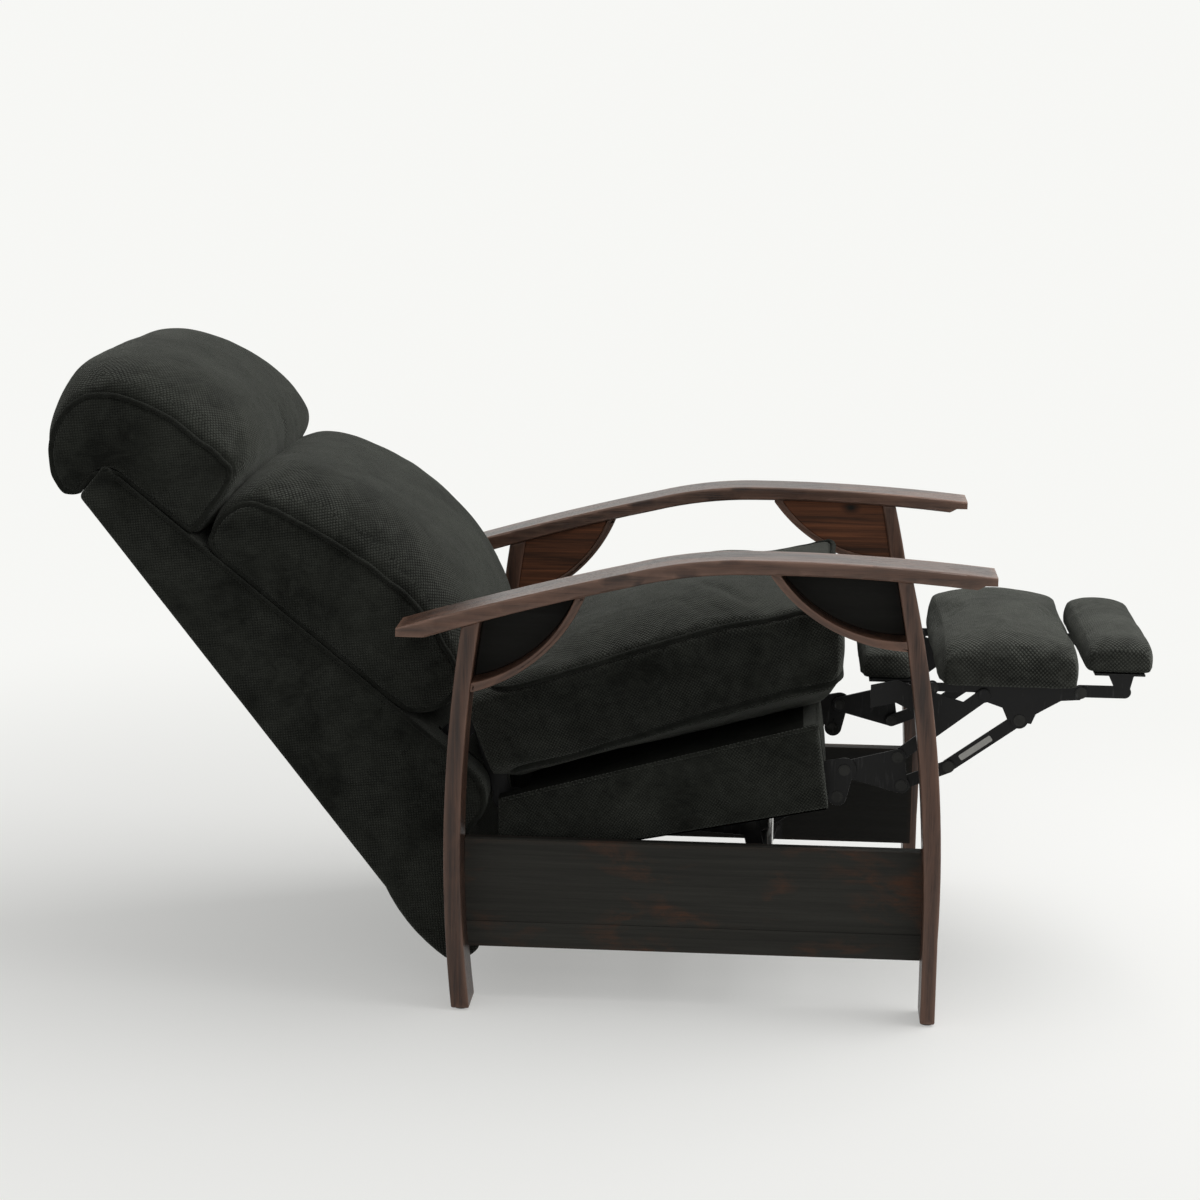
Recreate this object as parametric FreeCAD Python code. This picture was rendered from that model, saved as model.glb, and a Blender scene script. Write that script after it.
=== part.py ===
"""Bow-arm push-back recliner, modelled fully reclined with its legrest out.

Working frame: X runs forward from the middle between the feet, Y runs to the
sitter's left, Z is up from the floor, all in millimetres. The pieces are
exported with the origin moved under the middle of the whole chair.
"""
import FreeCAD, Part
import os
from math import atan2, cos, degrees, hypot, radians, sin

# Widths across the chair, from the arms inwards
ARM_HALF_SPAN = 355.0
ARM_LAP = 9.0
LEG_WIDTH = 64.0
LEG_INNER_Y = ARM_HALF_SPAN - ARM_LAP - LEG_WIDTH
FAN_INSET = 2.0
FAN_INNER_Y = LEG_INNER_Y + FAN_INSET
PANEL_REBATE = 7.0
PANEL_INNER_Y = LEG_INNER_Y - PANEL_REBATE
DECK_SIDE_GAP = 10.0
DECK_HALF_WIDTH = PANEL_INNER_Y - DECK_SIDE_GAP
BACK_SIDE_GAP = 7.0
BACK_HALF_WIDTH = PANEL_INNER_Y - BACK_SIDE_GAP
SIDE_FACE_INSET = 3.0
CUSHION_SIDE_INSET = 1.0
CUSHION_HALF_WIDTH = DECK_HALF_WIDTH - CUSHION_SIDE_INSET
CHANNEL_INSET = 51.0
CHANNEL_WIDTH = 46.0
CHANNEL_OUTER_Y = DECK_HALF_WIDTH - CHANNEL_INSET
CHANNEL_INNER_Y = CHANNEL_OUTER_Y - CHANNEL_WIDTH
PLATE_STACK_DEPTH = 91.0
LAYER_START_Y = DECK_HALF_WIDTH - PLATE_STACK_DEPTH
SPRING_INSET = 29.0
SPRING_SPAN = LAYER_START_Y - SPRING_INSET
MAIN_PAD_OVERHANG = 34.0
MAIN_PAD_HALF_WIDTH = LAYER_START_Y + MAIN_PAD_OVERHANG
FOOT_PAD_INSET = 32.0
FOOT_PAD_HALF_WIDTH = MAIN_PAD_HALF_WIDTH - FOOT_PAD_INSET
FILLER_INSET = 36.0
FILLER_HALF_WIDTH = MAIN_PAD_HALF_WIDTH - FILLER_INSET

# Timber side frames
ARM_WIDTH = 77.0
ARM_THICK = 20.0
ARM_REAR_X = -403.0
ARM_REAR_Z = 532.0
ARM_BEND_X = -90.0
ARM_BEND_Z = 615.5
ARM_CREST_X = 60.0
ARM_CREST_Z = 635.5
ARM_FRONT_X = 388.0
ARM_FRONT_Z = 620.0
ARM_REAR_BOW = 3.0
ARM_BEND_BOW = 4.6
ARM_FRONT_BOW = 4.5
ARM_NOSE_THICK = 11.0
ARM_NOSE_RUN = 16.0
ARM_NOSE_START = 27.0
ARM_NOSE_STEP = 6.0
ARM_TAIL_THICK = 11.0
ARM_TAIL_RUN = 40.0
ARM_EDGE_ROUND = 3.0
GLIDE_THICK = 3.0
GLIDE_RADIUS = 9.0
FRONT_LEG_FOOT_X = 308.0
FRONT_LEG_KNEE_Z = 120.0
FRONT_LEG_BEND_Z = 409.0
FRONT_LEG_BEND_SHIFT = 18.0
FRONT_LEG_TOP_SHIFT = 51.0
FRONT_LEG_TOP_Z = 618.0
FRONT_LEG_FOOT_THICK = 20.0
FRONT_LEG_BEND_THICK = 25.0
FRONT_LEG_TOP_THICK = 20.0
REAR_LEG_FOOT_X = -329.0
REAR_LEG_BELLY_X = -340.0
REAR_LEG_BELLY_Z = 220.0
REAR_LEG_TOP_X = -313.0
REAR_LEG_TOP_Z = 556.0
REAR_LEG_FOOT_THICK = 25.0
REAR_LEG_BELLY_THICK = 23.0
REAR_LEG_TOP_THICK = 24.0
ARC_THICK = 13.0
ARC_BOW = 24.0
FRONT_ARC_ARM_X = 93.0
FRONT_ARC_ARM_Z = 613.0
FRONT_ARC_LEG_X = 275.0
FRONT_ARC_LEG_Z = 517.0
REAR_ARC_ARM_X = -150.0
REAR_ARC_ARM_Z = 583.0
REAR_ARC_LEG_X = -301.0
REAR_ARC_LEG_Z = 446.0
FAN_THICK = 16.0
PANEL_THICK = 22.0
PANEL_BOTTOM_Z = 77.0
PANEL_HEIGHT = 152.0
OVERRUN = 30.0
RAIL_FRONT_X = -253.0
RAIL_THICK = 22.0
RAIL_HEIGHT = 44.0
RAIL_BOTTOM_Z = 78.0

# Steel base and swing links
PLATE = 3.0
LAYER_GAP = 2.0
PIN_RADIUS = 5.0
PIN_RUNNING_GAP = 0.05
HEAD_RADIUS = 8.0
HEAD_THICK = 1.5
HEAD_GAP = 0.2
STUD_GAP = 0.3
TUBE_RADIUS = 11.0
TUBE_WALL = 1.5
FRONT_TUBE_X = 90.0
FRONT_TUBE_Z = 98.0
REAR_TUBE_X = -160.0
FLANGE_LENGTH = 56.0
FLANGE_HEIGHT = 36.0
FLANGE_THICK = 4.0
BOLT_RADIUS = 3.0
BOLT_LENGTH = 18.0
BOLT_HEAD_RADIUS = 5.0
BOLT_HEAD_THICK = 3.5
BOLT_SPACING = 40.0
FRONT_SWING_X = 98.0
FRONT_SWING_Z = 128.0
FRONT_SEAT_PIN_X = 72.0
FRONT_SEAT_PIN_Z = 236.0
REAR_SWING_X = -200.0
REAR_SWING_Z = 118.0
REAR_SEAT_PIN_X = -274.0
REAR_SEAT_PIN_Z = 150.0
SWING_LINK_WIDTH = 24.0
BASE_PLATE_LOBE = 15.0
BASE_PLATE_DROP = 40.0
STOP_ROD_RADIUS = 4.0
STOP_ROD_X = 100.0
STOP_ROD_TOP_Z = 270.0

# Seat: deck box, mechanism plates, springs and cushion
DECK_FRONT_TOP_X = 161.0
DECK_FRONT_TOP_Z = 397.0
DECK_FRONT_LOW_X = 178.0
DECK_FRONT_LOW_Z = 277.0
DECK_LENGTH = 412.0
DECK_TAIL = 38.0
DECK_TOP_SLOPE = 15.2
DECK_BOTTOM_SLOPE = 11.5
COVER_THICK = 3.0
DECK_RAIL_THICK = 22.0
CHANNEL_HEIGHT = 100.0
OPEN_BASE_SHARE = 1.3
REAR_SLOT_MARGIN = 2.0
SLOT_ROOF = 11.0
SEAT_PLATE_WIDTH = 34.0
SEAT_PLATE_TOE_X = 191.0
SEAT_PLATE_TOE_Z = 279.0
SEAT_PLATE_TOE_WIDTH = 26.0
BACK_ARM_KNEE_X = -272.0
BACK_ARM_KNEE_Z = 262.0
BACK_ARM_WIDTH = 26.0
SPACER_RADIUS = 8.0
FRONT_SPACER_X = 120.0
FRONT_SPACER_Z = 310.0
REAR_SPACER_X = -150.0
REAR_SPACER_Z = 248.0
SPRING_COUNT = 4
SPRING_LOOPS = 9
SPRING_WIRE_RADIUS = 1.9
SPRING_WIDTH = 50.0
SPRING_DROP = 12.0
CUSHION_SLOPE = 17.7
CUSHION_LENGTH = 478.0
CUSHION_BOXING = 110.0
CUSHION_CROWN = 24.0
CUSHION_TOP_BOW = 6.0
CUSHION_LEAD = 26.0
CUSHION_BELLY_GAP = 16.6
CUSHION_REAR_X = -262.0
CUSHION_REAR_Z = 309.0
CUSHION_SWELL = 9.0

# Back: wedge frame, cushion and head roll
BACK_PIVOT_X = -310.0
BACK_PIVOT_Z = 385.0
BACK_SEAM_X = -403.0
BACK_SEAM_Z = 393.0
BACK_SLOPE = 39.2
BACK_TOP_S = 530.0
BACK_TOP_DEPTH = 55.0
BACK_WAIST_S = -134.0
BACK_WAIST_DEPTH = 208.0
BACK_NOSE_S = -168.0
BACK_NOSE_DEPTH = 34.0
BACK_THROAT_DEPTH = 74.0
BACK_HEEL_S = -266.0
BACK_HEEL_DEPTH = 232.0
BACK_TOE_S = -287.0
BACK_TOE_DEPTH = 187.0
BACK_SIDE_WALL = 30.0
BACK_REAR_WALL = 14.0
BACK_CHIN_S = -127.0
BACK_TAIL_BOW = 9.0
BACK_HEEL_BOW = 8.0
BACK_CHIN_BOW = 8.0
BACK_SLOT_HIGH_S = -50.0
BACK_SLOT_EASE = 2.0
POST_DEPTH = 44.0
POST_LOW_S = -95.0
POST_HIGH_S = 470.0
CROSS_RAIL_THICK = 22.0
BRACKET_WIDTH = 34.0
BRACKET_HIGH_S = 120.0
BACK_SPRING_COUNT = 3
BACK_SPRING_LOOPS = 8
BACK_CUSHION_LENGTH = 356.0
BACK_CUSHION_THICK = 131.0
BACK_CUSHION_PUFF = 46.0
BACK_CUSHION_CHIN = 96.0
BACK_CUSHION_DROP = 24.0
BACK_CUSHION_CHIN_BOW = 26.0
BACK_CUSHION_BROW = 11.0
BACK_CUSHION_BROW_BOW = 18.0
BROW_SHARE = 0.8
HEAD_ROLL_GAP = 17.0
HEAD_ROLL_START_S = BACK_CUSHION_LENGTH + HEAD_ROLL_GAP
HEAD_ROLL_LENGTH = 246.0
HEAD_ROLL_THICK = 112.0
HEAD_ROLL_PUFF = 44.0
HEAD_ROLL_LIP = 16.0
HEAD_ROLL_LIP_BOW = 7.0
HEAD_ROLL_PEAK = 79.0
HEAD_ROLL_PEAK_BACK = 24.0
HEAD_ROLL_HOOK = 40.0
HEAD_ROLL_TUCK = 12.0
BRIM_SHARE = 0.6
SOFT_GAP = 1.0

# Legrest linkage pins, in the side view
CARRIER_X = 200.0
CARRIER_Z = 317.0
UPPER_PIN_X = 273.0
UPPER_PIN_Z = 336.0
LOWER_PIN_X = 279.0
LOWER_PIN_Z = 296.0
KNEE_PIN_X = 343.0
KNEE_PIN_Z = 322.0
PAD_REAR_PIN_X = 388.0
PAD_REAR_PIN_Z = 426.0
PAD_FRONT_PIN_X = 438.0
PAD_FRONT_PIN_Z = 391.0
FOOT_PIN_X = 520.0
FOOT_PIN_Z = 432.0
FILLER_PIN_X = 318.0
FILLER_PIN_Z = 433.0
LINK_WIDTH = 18.0
BRACKET_TOP_Z = 440.7
BRACKET_STRAP = 12.0
FLANGE_REACH = 26.0
LUG_TOP_Z = 436.0
LUG_REAR_X = 233.0
LUG_FRONT_X = 268.0
LUG_LOW_Z = 404.0
LUG_SLANT = 8.0
LUG_LOW_SHARE = 0.5
LUG_HIGH_SHARE = 0.85
LUG_STOP_REACH = 18.0
LINK_FLARE = 4.0
WEB_SHARES = (
    (-0.72, 1.0), (-0.61, 0.52), (-0.29, 0.34), (-0.2, 0.0), (0.2, -0.1),
    (0.27, 0.18), (0.41, 0.32), (0.68, 0.58), (1.0, 0.62), (1.0, 1.0),
)

# Legrest pads
MAIN_PAD_REAR_X = 327.0
MAIN_PAD_FRONT_X = 517.0
MAIN_PAD_BOTTOM_Z = 441.0
MAIN_PAD_THICK = 48.0
MAIN_PAD_CROWN = 22.0
FOOT_PAD_REAR_X = 527.0
FOOT_PAD_FRONT_X = 620.0
FOOT_PAD_BOTTOM_Z = 458.0
FOOT_PAD_THICK = 34.0
FOOT_PAD_CROWN = 14.0
FILLER_REAR_X = 219.0
FILLER_FRONT_X = 292.0
FILLER_THICK = 36.0
FILLER_CROWN = 7.0
PAD_DRAW_IN = 4.0
PAD_SWELL = 4.0
FOOT_ARM_SHARE = 0.58
PILLOW_EDGE = 7.0
PILLOW_STATIONS = 11
PILLOW_POWER = 6
PILLOW_END_SHARE = 0.06
PAD_SEAT_GAP = 0.3

# How far each joint turns from the reclined pose to the upright, closed one
RECLINE_TRAVEL = 25.0
BACK_TRAVEL = 30.0
CARRIER_TRAVEL = 120.0
CLOSED_PAD_REACH_X = 230.0
CLOSED_PAD_REACH_Z = 385.0
PAD_TURN = 83.4
FOOT_FOLD = 90.0
FILLER_FOLD = -180.0


def v(x, y, z):
    return FreeCAD.Vector(x, y, z)


def turned(point, centre, angle):
    """Turn a side-view point about a centre; positive tips the nose down."""
    a = radians(angle)
    dx = point[0] - centre[0]
    dz = point[1] - centre[1]
    return (centre[0] + dx * cos(a) + dz * sin(a), centre[1] - dx * sin(a) + dz * cos(a))


def bowed(p, q, bow):
    """Middle point of an arc from p to q that stands bow off its chord, to the left."""
    length = hypot(q[0] - p[0], q[1] - p[1])
    nx = -(q[1] - p[1]) / length
    nz = (q[0] - p[0]) / length
    return ((p[0] + q[0]) / 2 + nx * bow, (p[1] + q[1]) / 2 + nz * bow)


def outline(start, *steps):
    """Closed side-view wire. A step is an end point, or a pair: via point and end point."""
    edges = []
    here = start
    for step in list(steps) + [start]:
        via = None
        end = step
        if isinstance(step[0], tuple):
            via, end = step
        if hypot(end[0] - here[0], end[1] - here[1]) > 1e-6:
            a = v(here[0], 0, here[1])
            b = v(end[0], 0, end[1])
            if via is None:
                edges.append(Part.LineSegment(a, b).toShape())
            else:
                edges.append(Part.Arc(a, v(via[0], 0, via[1]), b).toShape())
        here = end
    return Part.Wire(edges)


def slab(wire, y_low, y_high):
    """Extrude a side-view wire across the chair."""
    face = Part.Face(wire)
    solid = face.extrude(v(0, y_high - y_low, 0))
    solid.translate(v(0, y_low, 0))
    return solid


def disc(centre, radius, y_low, y_high):
    return Part.makeCylinder(radius, y_high - y_low, v(centre[0], y_low, centre[1]), v(0, 1, 0))


def bar(p, q, width, y_low, thick):
    """Flat link with round ends on two pin centres."""
    half = width / 2
    length = hypot(q[0] - p[0], q[1] - p[1])
    ux = (q[0] - p[0]) / length
    uz = (q[1] - p[1]) / length
    a = (p[0] - uz * half, p[1] + ux * half)
    b = (q[0] - uz * half, q[1] + ux * half)
    c = (q[0] + uz * half, q[1] - ux * half)
    d = (p[0] + uz * half, p[1] - ux * half)
    tip = (q[0] + ux * half, q[1] + uz * half)
    tail = (p[0] - ux * half, p[1] - uz * half)
    return slab(outline(a, b, (tip, c), d, (tail, a)), y_low, y_low + thick)


def drilled(solid, pins, y_low, y_high):
    """Bore running holes for pins through a plate."""
    for pin in pins:
        hole = disc(pin, PIN_RADIUS + PIN_RUNNING_GAP, y_low - LAYER_GAP, y_high + LAYER_GAP)
        solid = solid.cut(hole)
    return solid


def mirrored(solid):
    return solid.mirror(v(0, 0, 0), v(0, 1, 0))


def group(solids):
    return Part.makeCompound(solids)


def both(solid):
    """A left piece and its right twin in one node."""
    return group([solid, mirrored(solid)])


def layer(index):
    """Inner face of one of the stacked plates that make up each side of the mechanism."""
    return LAYER_START_Y + index * (PLATE + LAYER_GAP)


FOOT_LAYER, FRONT_LINK_LAYER, BRACKET_LAYER, UPPER_LAYER = range(4)
CARRIER_LAYER, SEAT_LAYER, SWING_LAYER, BASE_LAYER = range(4, 8)


def rivet(centre, own, other):
    """Pin fixed in its own plate, with a running fit in another plate's hole."""
    low = min(own, other)
    high = max(own, other)
    inner = layer(low)
    outer = layer(high) + PLATE
    inner_gap = 0 if own == low else HEAD_GAP
    outer_gap = 0 if own == high else HEAD_GAP
    shank = disc(centre, PIN_RADIUS, inner - inner_gap, outer + outer_gap)
    inner_head = disc(centre, HEAD_RADIUS, inner - inner_gap - HEAD_THICK, inner - inner_gap)
    outer_head = disc(centre, HEAD_RADIUS, outer + outer_gap, outer + outer_gap + HEAD_THICK)
    return shank.fuse([inner_head, outer_head])


# Side-view pin centres
FRONT_SWING = (FRONT_SWING_X, FRONT_SWING_Z)
FRONT_SEAT_PIN = (FRONT_SEAT_PIN_X, FRONT_SEAT_PIN_Z)
REAR_SWING = (REAR_SWING_X, REAR_SWING_Z)
REAR_SEAT_PIN = (REAR_SEAT_PIN_X, REAR_SEAT_PIN_Z)
BACK_PIVOT = (BACK_PIVOT_X, BACK_PIVOT_Z)
CARRIER = (CARRIER_X, CARRIER_Z)
UPPER_PIN = (UPPER_PIN_X, UPPER_PIN_Z)
LOWER_PIN = (LOWER_PIN_X, LOWER_PIN_Z)
KNEE_PIN = (KNEE_PIN_X, KNEE_PIN_Z)
PAD_REAR_PIN = (PAD_REAR_PIN_X, PAD_REAR_PIN_Z)
PAD_FRONT_PIN = (PAD_FRONT_PIN_X, PAD_FRONT_PIN_Z)
FOOT_PIN = (FOOT_PIN_X, FOOT_PIN_Z)
FILLER_PIN = (FILLER_PIN_X, FILLER_PIN_Z)


def ramp(origin, slope):
    """Local side-view frame: u climbs forward along the slope, w stands off it."""
    a = radians(slope)

    def place(u, w):
        return (origin[0] + u * cos(a) - w * sin(a), origin[1] + u * sin(a) + w * cos(a))
    return place


def meet(p, q, r, s):
    """Crossing point of line p-q with line r-s."""
    ax, az = q[0] - p[0], q[1] - p[1]
    bx, bz = s[0] - r[0], s[1] - r[1]
    t = ((r[0] - p[0]) * bz - (r[1] - p[1]) * bx) / (ax * bz - az * bx)
    return (p[0] + t * ax, p[1] + t * az)


def between(p, q, share):
    return (p[0] + (q[0] - p[0]) * share, p[1] + (q[1] - p[1]) * share)


def eased(solid, radius, shortest):
    """Round the long edges that run along a board, leaving its short ends square."""
    rims = [e for e in solid.Edges if abs(e.Vertexes[0].Y - e.Vertexes[-1].Y) < radius and e.Length > shortest]
    return solid.makeFillet(radius, rims)


def box(x_low, x_high, y_low, y_high, z_low, z_high):
    return Part.makeBox(x_high - x_low, y_high - y_low, z_high - z_low, v(x_low, y_low, z_low))


# Timber side frame, left side; the right one is its mirror image
def arm_board():
    rear = (ARM_REAR_X, ARM_REAR_Z)
    bend = (ARM_BEND_X, ARM_BEND_Z)
    crest = (ARM_CREST_X, ARM_CREST_Z)
    front = (ARM_FRONT_X, ARM_FRONT_Z)
    nose_z = ARM_FRONT_Z - ARM_NOSE_THICK
    nose_low = (ARM_FRONT_X, nose_z)
    nose_step = (ARM_FRONT_X - ARM_NOSE_RUN, nose_z)
    nose_root = (ARM_FRONT_X - ARM_NOSE_START, nose_z - ARM_NOSE_STEP)
    crest_low = (ARM_CREST_X, ARM_CREST_Z - ARM_THICK)
    bend_low = (ARM_BEND_X, ARM_BEND_Z - ARM_THICK)
    tail_root = (ARM_REAR_X + ARM_TAIL_RUN, ARM_REAR_Z - ARM_TAIL_THICK)
    tail_low = (ARM_REAR_X, ARM_REAR_Z - ARM_TAIL_THICK)
    wire = outline(
        rear,
        (bowed(rear, bend, ARM_REAR_BOW), bend),
        (bowed(bend, crest, ARM_BEND_BOW), crest),
        (bowed(crest, front, ARM_FRONT_BOW), front),
        nose_low,
        nose_step,
        nose_root,
        (bowed(nose_root, crest_low, -ARM_FRONT_BOW), crest_low),
        (bowed(crest_low, bend_low, -ARM_BEND_BOW), bend_low),
        (bowed(bend_low, tail_root, -ARM_REAR_BOW), tail_root),
        tail_low,
    )
    return slab(wire, ARM_HALF_SPAN - ARM_WIDTH, ARM_HALF_SPAN)


def front_leg():
    top_x = FRONT_LEG_FOOT_X - FRONT_LEG_TOP_SHIFT
    bend_x = FRONT_LEG_FOOT_X - FRONT_LEG_BEND_SHIFT
    wire = outline(
        (FRONT_LEG_FOOT_X, GLIDE_THICK),
        (FRONT_LEG_FOOT_X, FRONT_LEG_KNEE_Z),
        ((bend_x, FRONT_LEG_BEND_Z), (top_x, FRONT_LEG_TOP_Z)),
        (top_x + FRONT_LEG_TOP_THICK, FRONT_LEG_TOP_Z),
        ((bend_x + FRONT_LEG_BEND_THICK, FRONT_LEG_BEND_Z),
         (FRONT_LEG_FOOT_X + FRONT_LEG_FOOT_THICK, FRONT_LEG_KNEE_Z)),
        (FRONT_LEG_FOOT_X + FRONT_LEG_FOOT_THICK, GLIDE_THICK),
    )
    return slab(wire, LEG_INNER_Y, LEG_INNER_Y + LEG_WIDTH)


def rear_leg():
    wire = outline(
        (REAR_LEG_FOOT_X, GLIDE_THICK),
        ((REAR_LEG_BELLY_X, REAR_LEG_BELLY_Z), (REAR_LEG_TOP_X, REAR_LEG_TOP_Z)),
        (REAR_LEG_TOP_X + REAR_LEG_TOP_THICK, REAR_LEG_TOP_Z),
        ((REAR_LEG_BELLY_X + REAR_LEG_BELLY_THICK, REAR_LEG_BELLY_Z),
         (REAR_LEG_FOOT_X + REAR_LEG_FOOT_THICK, GLIDE_THICK)),
    )
    return slab(wire, LEG_INNER_Y, LEG_INNER_Y + LEG_WIDTH)


def bracket_arc(at_arm, at_leg, side):
    """Curved moulding under the arm; side is +1 where the leg stands in front of it."""
    inner_arm = (at_arm[0] + side * ARC_THICK, at_arm[1] + OVERRUN)
    inner_leg = (at_leg[0] + side * OVERRUN, at_leg[1] + ARC_THICK)
    outer_arm = (at_arm[0], at_arm[1] + OVERRUN)
    outer_leg = (at_leg[0] + side * OVERRUN, at_leg[1])
    arm_mid = (at_arm[0] + side * ARC_THICK, at_arm[1])
    leg_mid = (at_leg[0], at_leg[1] + ARC_THICK)
    wire = outline(
        outer_arm,
        at_arm,
        (bowed(at_arm, at_leg, -side * ARC_BOW), at_leg),
        outer_leg,
        inner_leg,
        leg_mid,
        (bowed(leg_mid, arm_mid, side * ARC_BOW), arm_mid),
        inner_arm,
    )
    return slab(wire, LEG_INNER_Y, LEG_INNER_Y + LEG_WIDTH)


def fan_panel(at_arm, at_leg, side):
    """Board that fills the corner behind the curved moulding."""
    arm_mid = (at_arm[0] + side * ARC_THICK, at_arm[1])
    leg_mid = (at_leg[0], at_leg[1] + ARC_THICK)
    wire = outline(
        (arm_mid[0], arm_mid[1] + OVERRUN),
        arm_mid,
        (bowed(arm_mid, leg_mid, -side * ARC_BOW), leg_mid),
        (leg_mid[0] + side * OVERRUN, leg_mid[1]),
        (leg_mid[0] + side * OVERRUN, arm_mid[1] + OVERRUN),
    )
    return slab(wire, FAN_INNER_Y, FAN_INNER_Y + FAN_THICK)


def largest(shape):
    return max(shape.Solids, key=lambda solid: solid.Volume)


def side_frame():
    arm = eased(arm_board(), ARM_EDGE_ROUND, ARM_WIDTH)
    front = front_leg().cut(arm_board())
    rear = rear_leg().cut(arm_board())
    whole_front = front_leg()
    whole_rear = rear_leg()
    front_arm = (FRONT_ARC_ARM_X, FRONT_ARC_ARM_Z)
    front_foot = (FRONT_ARC_LEG_X, FRONT_ARC_LEG_Z)
    rear_arm = (REAR_ARC_ARM_X, REAR_ARC_ARM_Z)
    rear_foot = (REAR_ARC_LEG_X, REAR_ARC_LEG_Z)
    front_arc = bracket_arc(front_arm, front_foot, 1).cut(arm_board()).cut(whole_front)
    rear_arc = bracket_arc(rear_arm, rear_foot, -1).cut(arm_board()).cut(whole_rear)
    front_fan = fan_panel(front_arm, front_foot, 1).cut(arm_board()).cut(whole_front)
    rear_fan = fan_panel(rear_arm, rear_foot, -1).cut(arm_board()).cut(whole_rear)
    panel = box(
        REAR_LEG_FOOT_X + REAR_LEG_FOOT_THICK / 2,
        FRONT_LEG_FOOT_X + FRONT_LEG_FOOT_THICK / 2,
        PANEL_INNER_Y,
        PANEL_INNER_Y + PANEL_THICK,
        PANEL_BOTTOM_Z,
        PANEL_BOTTOM_Z + PANEL_HEIGHT,
    ).cut(whole_front).cut(whole_rear)
    for bolt in bolt_places():
        panel = panel.cut(disc(bolt, BOLT_RADIUS, PANEL_INNER_Y, PANEL_INNER_Y + BOLT_LENGTH))
    return {
        "arm_board": arm,
        "front_leg": largest(front),
        "rear_leg": largest(rear),
        "front_bracket_arc": largest(front_arc),
        "rear_bracket_arc": largest(rear_arc),
        "front_fan_panel": largest(front_fan),
        "rear_fan_panel": largest(rear_fan),
        "side_panel": largest(panel),
    }


def foot_glides():
    pads = []
    for x in (FRONT_LEG_FOOT_X + FRONT_LEG_FOOT_THICK / 2, REAR_LEG_FOOT_X + REAR_LEG_FOOT_THICK / 2):
        for y in (LEG_INNER_Y + LEG_WIDTH / 4, LEG_INNER_Y + 3 * LEG_WIDTH / 4):
            pad = Part.makeCylinder(GLIDE_RADIUS, GLIDE_THICK, v(x, y, 0))
            pads += [pad, mirrored(pad)]
    return group(pads)


# Steel base
FRONT_TUBE = (FRONT_TUBE_X, FRONT_TUBE_Z)
REAR_TUBE = (REAR_TUBE_X, FRONT_TUBE_Z)
FLANGE_FACE_Y = PANEL_INNER_Y - FLANGE_THICK


def bolt_places():
    places = []
    for tube in (FRONT_TUBE, REAR_TUBE):
        for side in (-1, 1):
            places.append((tube[0] + side * BOLT_SPACING / 2, tube[1]))
    return places


def cross_tube(tube):
    """Round tube with a bolting flange on each end."""
    rod = disc(tube, TUBE_RADIUS, -FLANGE_FACE_Y, FLANGE_FACE_Y)
    rod = rod.cut(disc(tube, TUBE_RADIUS - TUBE_WALL, -FLANGE_FACE_Y, FLANGE_FACE_Y))
    flange = box(
        tube[0] - FLANGE_LENGTH / 2, tube[0] + FLANGE_LENGTH / 2,
        FLANGE_FACE_Y, PANEL_INNER_Y,
        tube[1] - FLANGE_HEIGHT / 2, tube[1] + FLANGE_HEIGHT / 2,
    )
    for bolt in bolt_places():
        flange = flange.cut(disc(bolt, BOLT_RADIUS, FLANGE_FACE_Y, PANEL_INNER_Y))
    return rod.fuse([flange, mirrored(flange)])


def frame_bolts():
    bolts = []
    for bolt in bolt_places():
        shank = disc(bolt, BOLT_RADIUS - PIN_RUNNING_GAP, FLANGE_FACE_Y, FLANGE_FACE_Y + BOLT_LENGTH)
        head = disc(bolt, BOLT_HEAD_RADIUS, FLANGE_FACE_Y - BOLT_HEAD_THICK, FLANGE_FACE_Y)
        solid = shank.fuse(head)
        bolts += [solid, mirrored(solid)]
    return group(bolts)


def base_plate():
    y = layer(BASE_LAYER)
    plate = bar(REAR_SWING, FRONT_SWING, 2 * BASE_PLATE_LOBE, y, PLATE)
    plate = plate.fuse(bar(FRONT_TUBE, FRONT_SWING, 2 * BASE_PLATE_LOBE, y, PLATE))
    plate = plate.fuse(bar(REAR_TUBE, REAR_SWING, 2 * BASE_PLATE_LOBE, y, PLATE))
    for tube in (FRONT_TUBE, REAR_TUBE):
        plate = plate.cut(disc(tube, TUBE_RADIUS + PIN_RUNNING_GAP, y, y + PLATE))
    return drilled(plate.removeSplitter(), (FRONT_SWING, REAR_SWING), y, y + PLATE)


def stop_rod():
    y = layer(BASE_LAYER) + PLATE + STOP_ROD_RADIUS + LAYER_GAP
    foot = v(STOP_ROD_X, y, FRONT_TUBE_Z)
    rod = Part.makeCylinder(STOP_ROD_RADIUS, STOP_ROD_TOP_Z - FRONT_TUBE_Z, foot)
    return rod.cut(disc(FRONT_TUBE, TUBE_RADIUS, y - OVERRUN, y + OVERRUN))


def rear_cross_rail():
    return box(RAIL_FRONT_X - RAIL_THICK, RAIL_FRONT_X, -PANEL_INNER_Y, PANEL_INNER_Y,
               RAIL_BOTTOM_Z, RAIL_BOTTOM_Z + RAIL_HEIGHT)


def swing_link(low, high):
    y = layer(SWING_LAYER)
    return drilled(bar(low, high, SWING_LINK_WIDTH, y, PLATE), (low, high), y, y + PLATE)


def rear_swing_link():
    """Its upper pin is a short stud that stops just clear of the seat plate."""
    y = layer(SWING_LAYER)
    link = drilled(bar(REAR_SWING, REAR_SEAT_PIN, SWING_LINK_WIDTH, y, PLATE), [REAR_SWING], y, y + PLATE)
    stud = disc(REAR_SEAT_PIN, PIN_RADIUS, y - LAYER_GAP + STUD_GAP, y)
    head = disc(REAR_SEAT_PIN, HEAD_RADIUS, y + PLATE, y + PLATE + HEAD_THICK)
    return link.fuse([stud, head])


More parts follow.
